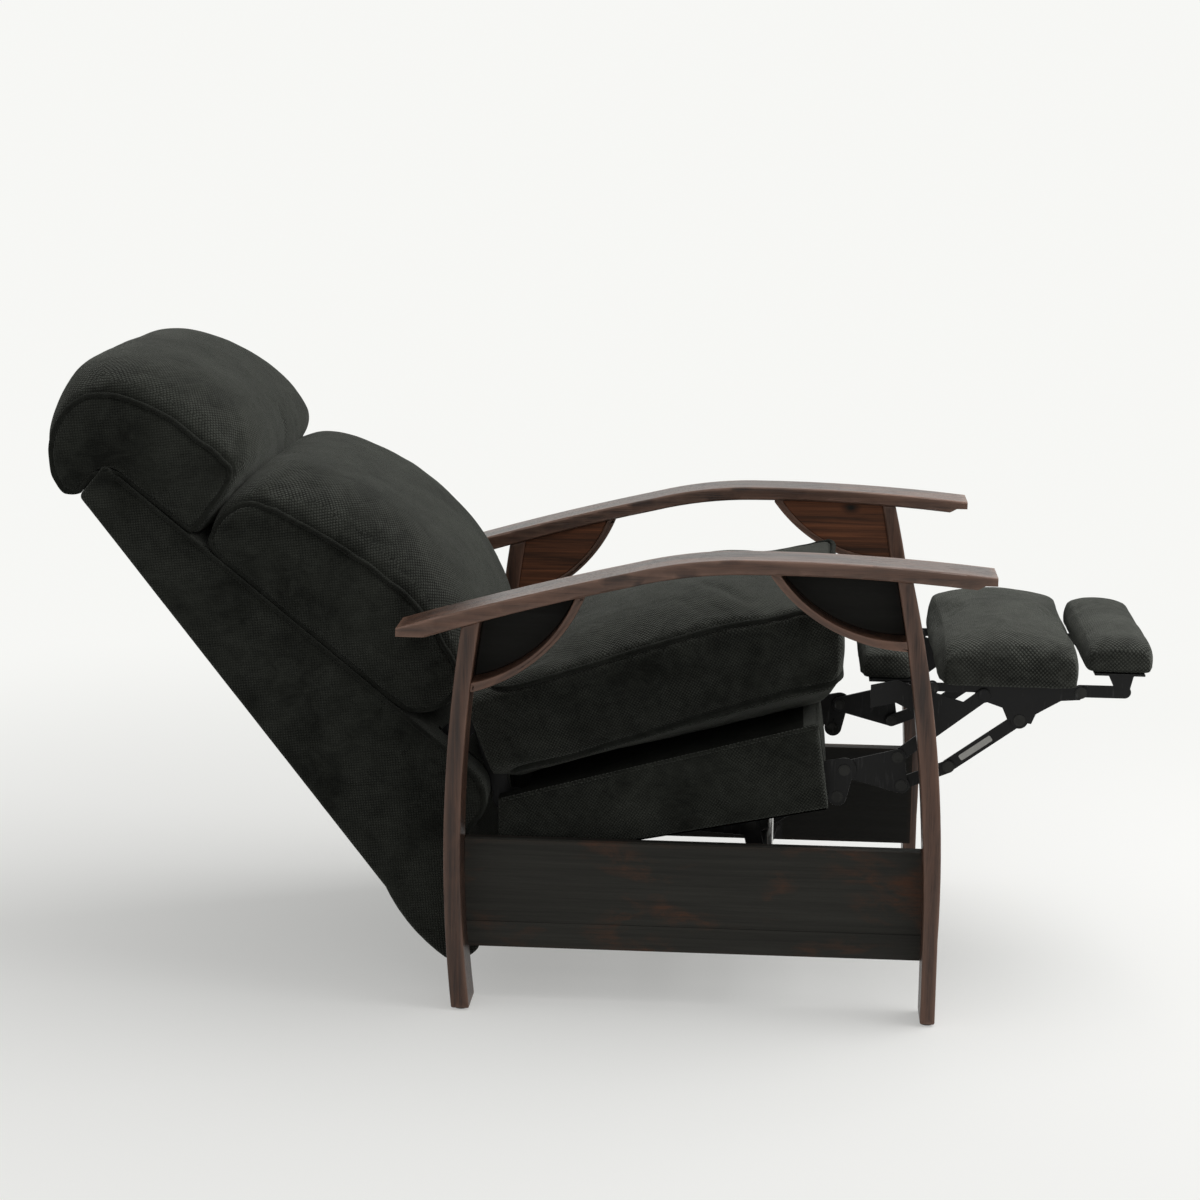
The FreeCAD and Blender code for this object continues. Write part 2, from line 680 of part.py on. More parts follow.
# Deck box under the seat cushion
DECK_FRONT_TOP = (DECK_FRONT_TOP_X, DECK_FRONT_TOP_Z)
DECK_FRONT_LOW = (DECK_FRONT_LOW_X, DECK_FRONT_LOW_Z)
DECK = ramp(DECK_FRONT_TOP, DECK_TOP_SLOPE)
DECK_BASE = ramp(DECK_FRONT_LOW, DECK_BOTTOM_SLOPE)


def deck_corner(sink, front, rear, at_top, at_front):
    """One corner of the deck's side view, inset from its top, front and rear."""
    top = (DECK(-DECK_LENGTH, -sink), DECK(0, -sink))
    base = (DECK_BASE(-DECK_LENGTH, 0), DECK_BASE(0, 0))
    if at_front:
        upright = ((DECK_FRONT_TOP[0] - front, DECK_FRONT_TOP[1]), (DECK_FRONT_LOW[0] - front, DECK_FRONT_LOW[1]))
    else:
        x = DECK(-DECK_LENGTH, 0)[0] + rear
        upright = ((x, DECK_FRONT_TOP[1]), (x, DECK_FRONT_LOW[1]))
    level = top if at_top else base
    return meet(level[0], level[1], upright[0], upright[1])


def deck_slab(sink, front, rear, y_low, y_high):
    wire = outline(
        deck_corner(sink, front, rear, True, False),
        deck_corner(sink, front, rear, True, True),
        deck_corner(sink, front, rear, False, True),
        deck_corner(sink, front, rear, False, False),
    )
    return slab(wire, y_low, y_high)


def deck_channels(solid):
    """Open slots that the folding linkage swings up through."""
    top = DECK_FRONT_LOW_Z + CHANNEL_HEIGHT
    for low, high in ((CHANNEL_INNER_Y, CHANNEL_OUTER_Y), (-CHANNEL_OUTER_Y, -CHANNEL_INNER_Y)):
        slot = box(DECK_FRONT_TOP_X - OVERRUN - DECK_RAIL_THICK, DECK_FRONT_LOW_X + OVERRUN, low, high,
                   DECK_FRONT_LOW_Z - 2 * OVERRUN, top)
        solid = solid.cut(slot)
    return solid


def plate_slots(solid):
    """Slots in the rear of the deck for the seat plates."""
    low_y = layer(SEAT_LAYER) - REAR_SLOT_MARGIN
    high_y = layer(SEAT_LAYER) + PLATE + REAR_SLOT_MARGIN
    x = DECK(-DECK_LENGTH, 0)[0]
    for low, high in ((low_y, high_y), (-high_y, -low_y)):
        slot = box(x - OVERRUN, x + OVERRUN + DECK_RAIL_THICK, low, high,
                   DECK_BASE(-DECK_LENGTH, 0)[1] - OVERRUN, DECK(-DECK_LENGTH, 0)[1] - SLOT_ROOF)
        solid = solid.cut(slot)
    return solid


def deck_side_rail():
    """Side board, which runs on past the rear rail as a short tail."""
    low = DECK_HALF_WIDTH - COVER_THICK - DECK_RAIL_THICK
    return deck_slab(COVER_THICK, COVER_THICK, COVER_THICK - DECK_TAIL, low, low + DECK_RAIL_THICK)


def deck_cover():
    outer = deck_slab(0, 0, 0, -DECK_HALF_WIDTH, DECK_HALF_WIDTH)
    inner_half = DECK_HALF_WIDTH - COVER_THICK
    tail = deck_slab(0, 0, -DECK_TAIL, inner_half - DECK_RAIL_THICK - COVER_THICK, DECK_HALF_WIDTH)
    rail = deck_side_rail()
    rear_top = deck_corner(COVER_THICK, COVER_THICK, COVER_THICK, True, False)
    front_top = deck_corner(COVER_THICK, COVER_THICK, COVER_THICK, True, True)
    front_low = deck_corner(COVER_THICK, COVER_THICK, COVER_THICK, False, True)
    rear_low = deck_corner(COVER_THICK, COVER_THICK, COVER_THICK, False, False)
    hollow = slab(outline(
        rear_top,
        front_top,
        between(front_top, front_low, OPEN_BASE_SHARE),
        between(rear_top, rear_low, OPEN_BASE_SHARE),
    ), -inner_half, inner_half)
    shell = outer.fuse([tail, mirrored(tail)]).removeSplitter()
    return plate_slots(deck_channels(shell.cut([hollow, rail, mirrored(rail)])))


def deck_cross_rail(at_front):
    half = DECK_HALF_WIDTH - COVER_THICK - DECK_RAIL_THICK
    near = COVER_THICK
    far = COVER_THICK + DECK_RAIL_THICK
    wire = outline(
        deck_corner(COVER_THICK, near, near, True, at_front),
        deck_corner(COVER_THICK, far, far, True, at_front),
        deck_corner(COVER_THICK, far, far, False, at_front),
        deck_corner(COVER_THICK, near, near, False, at_front),
    )
    return slab(wire, -half, half)


def deck_front_rail():
    """Batten across the top, with three blocks under it between the linkage channels."""
    rail = deck_cross_rail(True)
    top = DECK_FRONT_LOW_Z + CHANNEL_HEIGHT
    above = box(0, DECK_FRONT_LOW_X, -DECK_HALF_WIDTH, DECK_HALF_WIDTH, top, DECK_FRONT_TOP_Z)
    blocks = deck_channels(rail.cut(above))
    return group([rail.common(above)] + blocks.Solids)


def sinuous_spring(place, length, loops, width, y):
    """Flat zigzag spring: straight cross runs joined by half turns, as one wire."""
    runs = 2 * loops
    pitch = length / (runs - 1)
    reach = width / 2 - pitch / 2
    edges = []
    side = 1
    for i in range(runs):
        x, z = place(i * pitch, 0)
        edges.append(Part.LineSegment(v(x, y - side * reach, z), v(x, y + side * reach, z)).toShape())
        if i < runs - 1:
            mid = place((i + 1 / 2) * pitch, 0)
            end = place((i + 1) * pitch, 0)
            edges.append(Part.Arc(
                v(x, y + side * reach, z),
                v(mid[0], y + side * (reach + pitch / 2), mid[1]),
                v(end[0], y + side * reach, end[1]),
            ).toShape())
        side = -side
    path = Part.Wire(edges)
    start = path.OrderedVertexes[0].Point
    circle = Part.Wire([Part.makeCircle(SPRING_WIRE_RADIUS, start, v(0, 1, 0))])
    return path.makePipeShell([circle], True, False)


def spring_row(count, place, length, loops, width, half_span):
    springs = []
    for i in range(count):
        y = half_span * (2 * i / (count - 1) - 1)
        springs.append(sinuous_spring(place, length, loops, width, y))
    return group(springs)


def seat_springs():
    step = COVER_THICK + DECK_RAIL_THICK + SPRING_WIRE_RADIUS + STUD_GAP
    front = deck_corner(SPRING_DROP, step, 0, True, True)
    rear = deck_corner(SPRING_DROP, 0, step, True, False)
    length = hypot(front[0] - rear[0], front[1] - rear[1])
    return spring_row(SPRING_COUNT, ramp(rear, DECK_TOP_SLOPE), length, SPRING_LOOPS, SPRING_WIDTH, SPRING_SPAN)


def seat_plate():
    y = layer(SEAT_LAYER)
    front_spacer = (FRONT_SPACER_X, FRONT_SPACER_Z)
    rear_spacer = (REAR_SPACER_X, REAR_SPACER_Z)
    knee = (BACK_ARM_KNEE_X, BACK_ARM_KNEE_Z)
    toe = (SEAT_PLATE_TOE_X, SEAT_PLATE_TOE_Z)
    plate = bar(CARRIER, rear_spacer, SEAT_PLATE_WIDTH, y, PLATE)
    plate = plate.fuse([
        bar(CARRIER, FRONT_SEAT_PIN, SEAT_PLATE_WIDTH, y, PLATE),
        bar(rear_spacer, FRONT_SEAT_PIN, SEAT_PLATE_WIDTH, y, PLATE),
        slab(outline(CARRIER, rear_spacer, FRONT_SEAT_PIN), y, y + PLATE),
        bar(toe, CARRIER, SEAT_PLATE_TOE_WIDTH, y, PLATE),
        bar(REAR_SEAT_PIN, rear_spacer, SEAT_PLATE_WIDTH, y, PLATE),
        bar(knee, rear_spacer, SEAT_PLATE_WIDTH, y, PLATE),
        bar(BACK_PIVOT, knee, BACK_ARM_WIDTH, y, PLATE),
    ])
    plate = plate.removeSplitter()
    pins = (CARRIER, FRONT_SEAT_PIN, BACK_PIVOT, toe)
    spacers = disc(front_spacer, SPACER_RADIUS / 2, y, y + PLATE)
    return drilled(plate, pins, y, y + PLATE).cut(spacers)


def seat_spacer(place):
    y = layer(SEAT_LAYER) + PLATE
    outer = DECK_HALF_WIDTH - COVER_THICK - DECK_RAIL_THICK
    return disc(place, SPACER_RADIUS, y, outer)


def seat_pins():
    toe = (SEAT_PLATE_TOE_X, SEAT_PLATE_TOE_Z)
    y = layer(SEAT_LAYER)
    stud = disc(toe, PIN_RADIUS, y, y + PLATE)
    stud = stud.fuse([
        disc(toe, HEAD_RADIUS, y - HEAD_THICK, y),
        disc(toe, HEAD_RADIUS, y + PLATE, y + PLATE + HEAD_THICK),
    ])
    lone = disc(REAR_SEAT_PIN, HEAD_RADIUS, y - HEAD_THICK, y)
    pins = [
        rivet(CARRIER, SEAT_LAYER, CARRIER_LAYER),
        rivet(FRONT_SEAT_PIN, SEAT_LAYER, SWING_LAYER),
        rivet(BACK_PIVOT, SEAT_LAYER, SWING_LAYER),
        stud,
        lone,
    ]
    return group(pins + [mirrored(pin) for pin in pins])


def base_pins():
    pins = [rivet(FRONT_SWING, BASE_LAYER, SWING_LAYER), rivet(REAR_SWING, BASE_LAYER, SWING_LAYER)]
    return group(pins + [mirrored(pin) for pin in pins])


# Soft forms: a smooth loft across the chair through side-view sections
def pillow(half_width, section):
    """The crown is full over the middle and dies away quickly towards both sides."""
    wires = []
    for i in range(PILLOW_STATIONS):
        place = 2 * i / (PILLOW_STATIONS - 1) - 1
        at_end = i in (0, PILLOW_STATIONS - 1)
        crown = max(1 - abs(place) ** PILLOW_POWER, PILLOW_END_SHARE)
        wire = section(crown, PILLOW_EDGE if at_end else 0)
        wire.translate(v(0, place * half_width, 0))
        wires.append(wire)
    return Part.makeLoft(wires, True, False)


def seat_cushion():
    """Boxed cushion: crowned above its piping, with a belly that rests on the deck."""
    seat = ramp((CUSHION_REAR_X, CUSHION_REAR_Z), CUSHION_SLOPE)
    rest_x = BACK_ARM_KNEE_X + BACK_ARM_WIDTH / 2 + CUSHION_BELLY_GAP
    rest_length = (DECK_FRONT_TOP_X - rest_x) / cos(radians(DECK_TOP_SLOPE))
    rest_rear = DECK(-rest_length, SOFT_GAP)
    rest_front = DECK(0, SOFT_GAP)

    def section(crown, edge):
        corner_rear = seat(edge, edge)
        corner_front = seat(CUSHION_LENGTH - edge, edge)
        belly_rear = between(corner_rear, rest_rear, crown)
        belly_front = between(corner_front, rest_front, crown)
        top_rear = seat(edge, CUSHION_BOXING - edge)
        top_front = seat(CUSHION_LENGTH + CUSHION_LEAD - edge, CUSHION_BOXING - edge)
        swell = CUSHION_TOP_BOW + crown * CUSHION_CROWN
        return outline(
            belly_rear,
            belly_front,
            corner_front,
            (bowed(corner_front, top_front, -CUSHION_SWELL), top_front),
            (bowed(top_front, top_rear, -swell), top_rear),
        )
    return pillow(CUSHION_HALF_WIDTH, section)


# Back: s climbs along its front face from the cushion seam, d sinks behind it
def back(s, d):
    a = radians(BACK_SLOPE)
    return (BACK_SEAM_X - s * cos(a) - d * sin(a), BACK_SEAM_Z + s * sin(a) - d * cos(a))


def back_profile():
    """Side view of the wedge-shaped back, with its hanging tail."""
    top_rear = back(BACK_TOP_S, BACK_TOP_DEPTH)
    waist = back(BACK_WAIST_S, BACK_WAIST_DEPTH)
    heel = back(BACK_HEEL_S, BACK_HEEL_DEPTH)
    toe = back(BACK_TOE_S, BACK_TOE_DEPTH)
    throat = back(BACK_NOSE_S, BACK_THROAT_DEPTH)
    nose = back(BACK_NOSE_S, BACK_NOSE_DEPTH)
    chin = back(BACK_CHIN_S, 0)
    return outline(
        back(BACK_TOP_S, 0),
        top_rear,
        waist,
        (bowed(waist, heel, -BACK_TAIL_BOW), heel),
        (bowed(heel, toe, -BACK_HEEL_BOW), toe),
        throat,
        nose,
        (bowed(nose, chin, -BACK_CHIN_BOW), chin),
    )


def back_cavity():
    wall = BACK_REAR_WALL
    return outline(
        back(BACK_TOP_S - wall, COVER_THICK),
        back(BACK_TOP_S - wall, BACK_TOP_DEPTH - wall),
        back(BACK_WAIST_S, BACK_WAIST_DEPTH - wall),
        back(BACK_NOSE_S + wall, BACK_WAIST_DEPTH - wall),
        back(BACK_NOSE_S + wall, BACK_NOSE_DEPTH),
        back(BACK_CHIN_S + wall, COVER_THICK),
    )


def back_shell():
    shell = slab(back_profile(), -BACK_HALF_WIDTH, BACK_HALF_WIDTH)
    cavity_half = BACK_HALF_WIDTH - BACK_SIDE_WALL
    shell = shell.cut(slab(back_cavity(), -cavity_half, cavity_half))
    low_y = layer(SEAT_LAYER) - REAR_SLOT_MARGIN
    high_y = layer(SWING_LAYER) + PLATE + PIN_RUNNING_GAP
    hole_low = back(BACK_SLOT_HIGH_S, BACK_NOSE_DEPTH)
    for low, high in ((low_y, high_y), (-high_y, -low_y)):
        wire = outline(
            back(BACK_SLOT_HIGH_S, -OVERRUN),
            hole_low,
            back(BACK_NOSE_S - OVERRUN, BACK_THROAT_DEPTH),
            back(BACK_NOSE_S - OVERRUN, -OVERRUN),
        )
        shell = shell.cut(slab(wire, low, high))
    return shell


def back_bar(s_low, s_high, d_low, d_high, y_low, y_high):
    wire = outline(back(s_low, d_low), back(s_high, d_low), back(s_high, d_high), back(s_low, d_high))
    return slab(wire, y_low, y_high)


POST_INNER_Y = LAYER_START_Y + SWING_LAYER * (PLATE + LAYER_GAP) + PLATE


def back_post():
    outer = BACK_HALF_WIDTH - BACK_SIDE_WALL
    return back_bar(POST_LOW_S, POST_HIGH_S, COVER_THICK, COVER_THICK + POST_DEPTH, POST_INNER_Y, outer)


def back_cross_rails():
    rails = []
    for s, half in ((BRACKET_HIGH_S + CROSS_RAIL_THICK, POST_INNER_Y), (POST_HIGH_S - CROSS_RAIL_THICK, POST_INNER_Y),
                    (POST_LOW_S + 2 * CROSS_RAIL_THICK, POST_INNER_Y - PLATE)):
        rails.append(back_bar(s, s + CROSS_RAIL_THICK, COVER_THICK, COVER_THICK + POST_DEPTH, -half, half))
    return group(rails)


def back_springs():
    margin = SPRING_WIRE_RADIUS + STUD_GAP
    low_s = BRACKET_HIGH_S + 2 * CROSS_RAIL_THICK + margin
    high_s = POST_HIGH_S - CROSS_RAIL_THICK - margin

    def place(u, w):
        return back(low_s + u, SPRING_DROP - w)
    return spring_row(BACK_SPRING_COUNT, place, high_s - low_s, BACK_SPRING_LOOPS, SPRING_WIDTH, SPRING_SPAN)


def back_bracket():
    y = layer(SWING_LAYER)
    root = back(BACK_SLOT_HIGH_S - BRACKET_WIDTH / 2 - BACK_SLOT_EASE, COVER_THICK + POST_DEPTH / 2)
    tip = back(BRACKET_HIGH_S - BRACKET_WIDTH / 2, COVER_THICK + POST_DEPTH / 2)
    plate = bar(BACK_PIVOT, root, BRACKET_WIDTH, y, PLATE).fuse(bar(root, tip, BRACKET_WIDTH, y, PLATE))
    return drilled(plate.removeSplitter(), [BACK_PIVOT], y, y + PLATE)


def back_cushion():
    def section(crown, edge):
        puff = crown * BACK_CUSHION_PUFF - edge
        heel = back(edge, -SOFT_GAP)
        chin = back(-BACK_CUSHION_DROP + edge, -BACK_CUSHION_CHIN - puff / 2)
        brow = back(BACK_CUSHION_LENGTH - BACK_CUSHION_BROW - edge, -BACK_CUSHION_CHIN - puff * BROW_SHARE)
        crest = back(BACK_CUSHION_LENGTH / 3, -BACK_CUSHION_THICK - puff)
        top = back(BACK_CUSHION_LENGTH - edge, -SOFT_GAP)
        return outline(
            heel,
            (bowed(heel, chin, -BACK_CUSHION_CHIN_BOW), chin),
            (crest, brow),
            (bowed(brow, top, -BACK_CUSHION_BROW_BOW), top),
        )
    return pillow(BACK_HALF_WIDTH - SIDE_FACE_INSET, section)


def head_roll():
    """Bolster that caps the back: its hooked end hangs down behind the top of the frame."""
    start = HEAD_ROLL_START_S
    end = HEAD_ROLL_START_S + HEAD_ROLL_LENGTH

    def section(crown, edge):
        puff = crown * HEAD_ROLL_PUFF - edge
        over = puff * BRIM_SHARE
        heel = back(start + edge, -SOFT_GAP)
        lip = back(start + HEAD_ROLL_LIP / 2 + edge, -HEAD_ROLL_THICK + HEAD_ROLL_LIP - puff / 2)
        lip_top = back(start + HEAD_ROLL_LIP * 2 + edge, -HEAD_ROLL_THICK - puff * BROW_SHARE)
        crest = back(start + HEAD_ROLL_LENGTH / 2, -HEAD_ROLL_THICK - puff)
        peak = back(end - HEAD_ROLL_PEAK_BACK, -HEAD_ROLL_PEAK - puff)
        brim = back(end + over, -HEAD_ROLL_LIP)
        hook = back(end - HEAD_ROLL_PEAK_BACK, HEAD_ROLL_HOOK + over / 2)
        low = back(BACK_TOP_S + HEAD_ROLL_LIP, BACK_TOP_DEPTH + HEAD_ROLL_TUCK)
        root = back(BACK_TOP_S + SOFT_GAP, BACK_TOP_DEPTH)
        shoulder = back(BACK_TOP_S + SOFT_GAP, -SOFT_GAP)
        return outline(
            heel,
            lip,
            (bowed(lip, lip_top, -HEAD_ROLL_LIP_BOW), lip_top),
            (crest, peak),
            (brim, hook),
            (bowed(hook, low, -HEAD_ROLL_LIP_BOW), low),
            root,
            shoulder,
        )
    return pillow(BACK_HALF_WIDTH - SIDE_FACE_INSET, section)


# Legrest linkage
def carrier_plate():
    y = layer(CARRIER_LAYER)
    plate = bar(CARRIER, UPPER_PIN, LINK_WIDTH + LINK_FLARE, y, PLATE).fuse([
        bar(CARRIER, LOWER_PIN, LINK_WIDTH + LINK_FLARE, y, PLATE),
        bar(LOWER_PIN, UPPER_PIN, LINK_WIDTH, y, PLATE),
        slab(outline(CARRIER, UPPER_PIN, LOWER_PIN), y, y + PLATE),
    ])
    return drilled(plate.removeSplitter(), (CARRIER, UPPER_PIN, LOWER_PIN), y, y + PLATE)


def carrier_rivets():
    pins = [rivet(UPPER_PIN, CARRIER_LAYER, UPPER_LAYER), rivet(LOWER_PIN, CARRIER_LAYER, BRACKET_LAYER)]
    return group(pins + [mirrored(pin) for pin in pins])


def lower_link():
    y = layer(BRACKET_LAYER)
    return drilled(bar(LOWER_PIN, KNEE_PIN, LINK_WIDTH, y, PLATE), (LOWER_PIN, KNEE_PIN), y, y + PLATE)


def front_link():
    y = layer(FRONT_LINK_LAYER)
    return drilled(bar(KNEE_PIN, PAD_FRONT_PIN, LINK_WIDTH, y, PLATE), (KNEE_PIN, PAD_FRONT_PIN), y, y + PLATE)


def upper_link():
    """Link with a stop lug on its back; its far stud stops just clear of the pad bracket."""
    y = layer(UPPER_LAYER)
    link = bar(UPPER_PIN, PAD_REAR_PIN, LINK_WIDTH, y, PLATE)
    lug_mid = ((LUG_REAR_X + LUG_FRONT_X) / 2, (LUG_TOP_Z + LUG_LOW_Z) / 2)
    lug = slab(outline(
        (LUG_REAR_X, LUG_LOW_Z),
        (LUG_FRONT_X, LUG_LOW_Z + LUG_SLANT),
        between(UPPER_PIN, PAD_REAR_PIN, LUG_LOW_SHARE),
        between(UPPER_PIN, PAD_REAR_PIN, LUG_HIGH_SHARE),
        (LUG_FRONT_X, LUG_TOP_Z + LUG_SLANT),
        (LUG_REAR_X, LUG_TOP_Z),
    ), y, y + PLATE)
    stud = disc(PAD_REAR_PIN, PIN_RADIUS, y - LAYER_GAP + STUD_GAP, y)
    head = disc(PAD_REAR_PIN, HEAD_RADIUS, y + PLATE, y + PLATE + HEAD_THICK)
    stop = disc(lug_mid, PIN_RADIUS, y - LUG_STOP_REACH, y)
    link = link.fuse([lug, stud, head, stop])
    return drilled(link.removeSplitter(), [UPPER_PIN], y, y + PLATE)


def ottoman_bracket():
    """Strap with an inturned flange under the main pad and a web down to the link pin."""
    y = layer(BRACKET_LAYER)
    strap_low = BRACKET_TOP_Z - BRACKET_STRAP
    drop = BRACKET_TOP_Z - PAD_FRONT_PIN_Z
    run = FOOT_PIN_X - PAD_FRONT_PIN_X
    web = [(PAD_FRONT_PIN_X + x * run, PAD_FRONT_PIN_Z + z * drop) for x, z in WEB_SHARES]
    strap = slab(outline(
        (FILLER_PIN_X, strap_low), (FOOT_PIN_X, strap_low),
        (FOOT_PIN_X, BRACKET_TOP_Z), (FILLER_PIN_X, BRACKET_TOP_Z),
    ), y, y + PLATE)
    plate = strap.fuse([
        slab(outline(*web), y, y + PLATE),
        disc(PAD_FRONT_PIN, LINK_WIDTH * 2 / 3, y, y + PLATE),
        disc(FOOT_PIN, BRACKET_TOP_Z - FOOT_PIN_Z, y, y + PLATE),
        disc(FILLER_PIN, BRACKET_TOP_Z - FILLER_PIN_Z, y, y + PLATE),
        disc(PAD_REAR_PIN, LINK_WIDTH * 2 / 3, y, y + PLATE),
        box(MAIN_PAD_REAR_X + 3 * BRACKET_STRAP, MAIN_PAD_FRONT_X - BRACKET_STRAP, y - FLANGE_REACH, y + PLATE,
            BRACKET_TOP_Z - PLATE, BRACKET_TOP_Z),
    ])
    return drilled(plate.removeSplitter(), (PAD_FRONT_PIN, FOOT_PIN, FILLER_PIN), y, y + PLATE)


def ottoman_rivets():
    y = layer(BRACKET_LAYER)
    pins = [
        rivet(PAD_FRONT_PIN, BRACKET_LAYER, FRONT_LINK_LAYER),
        rivet(FOOT_PIN, BRACKET_LAYER, FOOT_LAYER),
        rivet(FILLER_PIN, BRACKET_LAYER, FOOT_LAYER),
        disc(PAD_REAR_PIN, HEAD_RADIUS, y - HEAD_THICK, y),
    ]
    return group(pins + [mirrored(pin) for pin in pins])


def foot_bracket():
    y = layer(FOOT_LAYER)
    top = FOOT_PAD_BOTTOM_Z - PAD_SEAT_GAP
    rise_x = FOOT_PAD_REAR_X + (FOOT_PAD_FRONT_X - FOOT_PAD_REAR_X) * FOOT_ARM_SHARE
    arm = bar(FOOT_PIN, (rise_x, FOOT_PIN_Z), 2 * (BRACKET_TOP_Z - FOOT_PIN_Z), y, PLATE)
    rise = slab(outline(
        (rise_x - BRACKET_STRAP, FOOT_PIN_Z),
        (rise_x + BRACKET_STRAP / 2, FOOT_PIN_Z),
        (rise_x + BRACKET_STRAP, top),
        (rise_x - 2 * BRACKET_STRAP, top),
    ), y, y + PLATE)
    flange = box(FOOT_PAD_REAR_X + BRACKET_STRAP, FOOT_PAD_FRONT_X - BRACKET_STRAP, y - FLANGE_REACH, y + PLATE,
                 top - PLATE, top)
    return drilled(arm.fuse([rise, flange]).removeSplitter(), [FOOT_PIN], y, y + PLATE)


def filler_bracket():
    y = layer(FOOT_LAYER)
    arm = bar(FILLER_PIN, (FILLER_FRONT_X, FILLER_PIN_Z), 2 * (BRACKET_TOP_Z - FILLER_PIN_Z), y, PLATE)
    flange = box(FILLER_REAR_X + BRACKET_STRAP, FILLER_FRONT_X, y - FLANGE_REACH, y + PLATE,
                 BRACKET_TOP_Z - PLATE, BRACKET_TOP_Z)
    return drilled(arm.fuse(flange).removeSplitter(), [FILLER_PIN], y, y + PLATE)


def pad(rear_x, front_x, bottom_z, thick, crown_rise, half_width):
    def section(crown, edge):
        top = bottom_z + thick - edge
        rise = crown * crown_rise
        low_rear = (rear_x + edge, bottom_z)
        low_front = (front_x - edge, bottom_z)
        top_front = (front_x - edge - PAD_DRAW_IN, top + rise / 2)
        top_rear = (rear_x + edge + PAD_DRAW_IN, top + rise / 2)
        return outline(
            low_rear,
            low_front,
            (bowed(low_front, top_front, -PAD_SWELL), top_front),
            (bowed(top_front, top_rear, -PAD_SWELL - rise / 2), top_rear),
            (bowed(top_rear, low_rear, -PAD_SWELL), low_rear),
        )
    return pillow(half_width, section)


# Where the closed linkage puts its pins, and how far each piece turns on the way
def bearing(p, q):
    return degrees(atan2(q[1] - p[1], q[0] - p[0]))


def closing_turn(p, q, new_p, new_q):
    """Turn of the line p-q, positive nose down, taken the short way round."""
    turn = bearing(p, q) - bearing(new_p, new_q)
    return (turn + 180) % 360 - 180


def crossing(p, p_radius, q, q_radius, side):
    """Point at two given distances from p and q, on one side of the line between."""
    span = hypot(q[0] - p[0], q[1] - p[1])
    along = (p_radius ** 2 - q_radius ** 2 + span ** 2) / (2 * span)
    off = side * max(p_radius ** 2 - along ** 2, 0) ** 0.5
    ux = (q[0] - p[0]) / span
    uz = (q[1] - p[1]) / span
    return (p[0] + ux * along - uz * off, p[1] + uz * along + ux * off)


def distance(p, q):
    return hypot(q[0] - p[0], q[1] - p[1])


def seat_motion():
    """Turns of the front swing link, seat and rear swing link, in the frame of the floor."""
    front = turned(FRONT_SEAT_PIN, FRONT_SWING, RECLINE_TRAVEL)
    rear = crossing(REAR_SWING, distance(REAR_SWING, REAR_SEAT_PIN), front,
                    distance(REAR_SEAT_PIN, FRONT_SEAT_PIN), 1)
    seat = closing_turn(REAR_SEAT_PIN, FRONT_SEAT_PIN, rear, front)
    rear_turn = closing_turn(REAR_SWING, REAR_SEAT_PIN, REAR_SWING, rear)
    return seat, rear_turn


def legrest_motion():
    """Turns of the legrest pieces against the seat as the legrest folds away."""
    upper = turned(UPPER_PIN, CARRIER, CARRIER_TRAVEL)
    lower = turned(LOWER_PIN, CARRIER, CARRIER_TRAVEL)
    aim = (CLOSED_PAD_REACH_X, CLOSED_PAD_REACH_Z)
    reach = distance(UPPER_PIN, PAD_REAR_PIN) / distance(upper, aim)
    pad_rear = between(upper, aim, reach)
    span = distance(PAD_REAR_PIN, PAD_FRONT_PIN)
    swing = turned((pad_rear[0] + PAD_FRONT_PIN_X - PAD_REAR_PIN_X, pad_rear[1] + PAD_FRONT_PIN_Z - PAD_REAR_PIN_Z),
                   pad_rear, PAD_TURN)
    pad_front = between(pad_rear, swing, span / distance(pad_rear, swing))
    knee = crossing(lower, distance(LOWER_PIN, KNEE_PIN), pad_front, distance(KNEE_PIN, PAD_FRONT_PIN), -1)
    upper_turn = closing_turn(UPPER_PIN, PAD_REAR_PIN, upper, pad_rear)
    lower_turn = closing_turn(LOWER_PIN, KNEE_PIN, lower, knee)
    front_turn = closing_turn(KNEE_PIN, PAD_FRONT_PIN, knee, pad_front)
    return upper_turn, lower_turn, front_turn


def joint_table():
    """Name, side-view pin and range of every joint; positive turns the nose down."""
    seat, rear = seat_motion()
    upper, lower, front = legrest_motion()
    return [
        ("recline", FRONT_SWING, RECLINE_TRAVEL),
        ("seat_tilt", FRONT_SEAT_PIN, seat - RECLINE_TRAVEL),
        ("rear_swing", REAR_SWING, rear),
        ("back_tilt", BACK_PIVOT, BACK_TRAVEL - seat),
        ("legrest", CARRIER, CARRIER_TRAVEL),
        ("upper_link_turn", UPPER_PIN, upper - CARRIER_TRAVEL),
        ("lower_link_turn", LOWER_PIN, lower - CARRIER_TRAVEL),
        ("front_link_turn", KNEE_PIN, front - lower),
        ("main_pad_turn", PAD_FRONT_PIN, PAD_TURN - front),
        ("foot_pad_fold", FOOT_PIN, FOOT_FOLD),
        ("filler_pad_fold", FILLER_PIN, FILLER_FOLD),
    ]


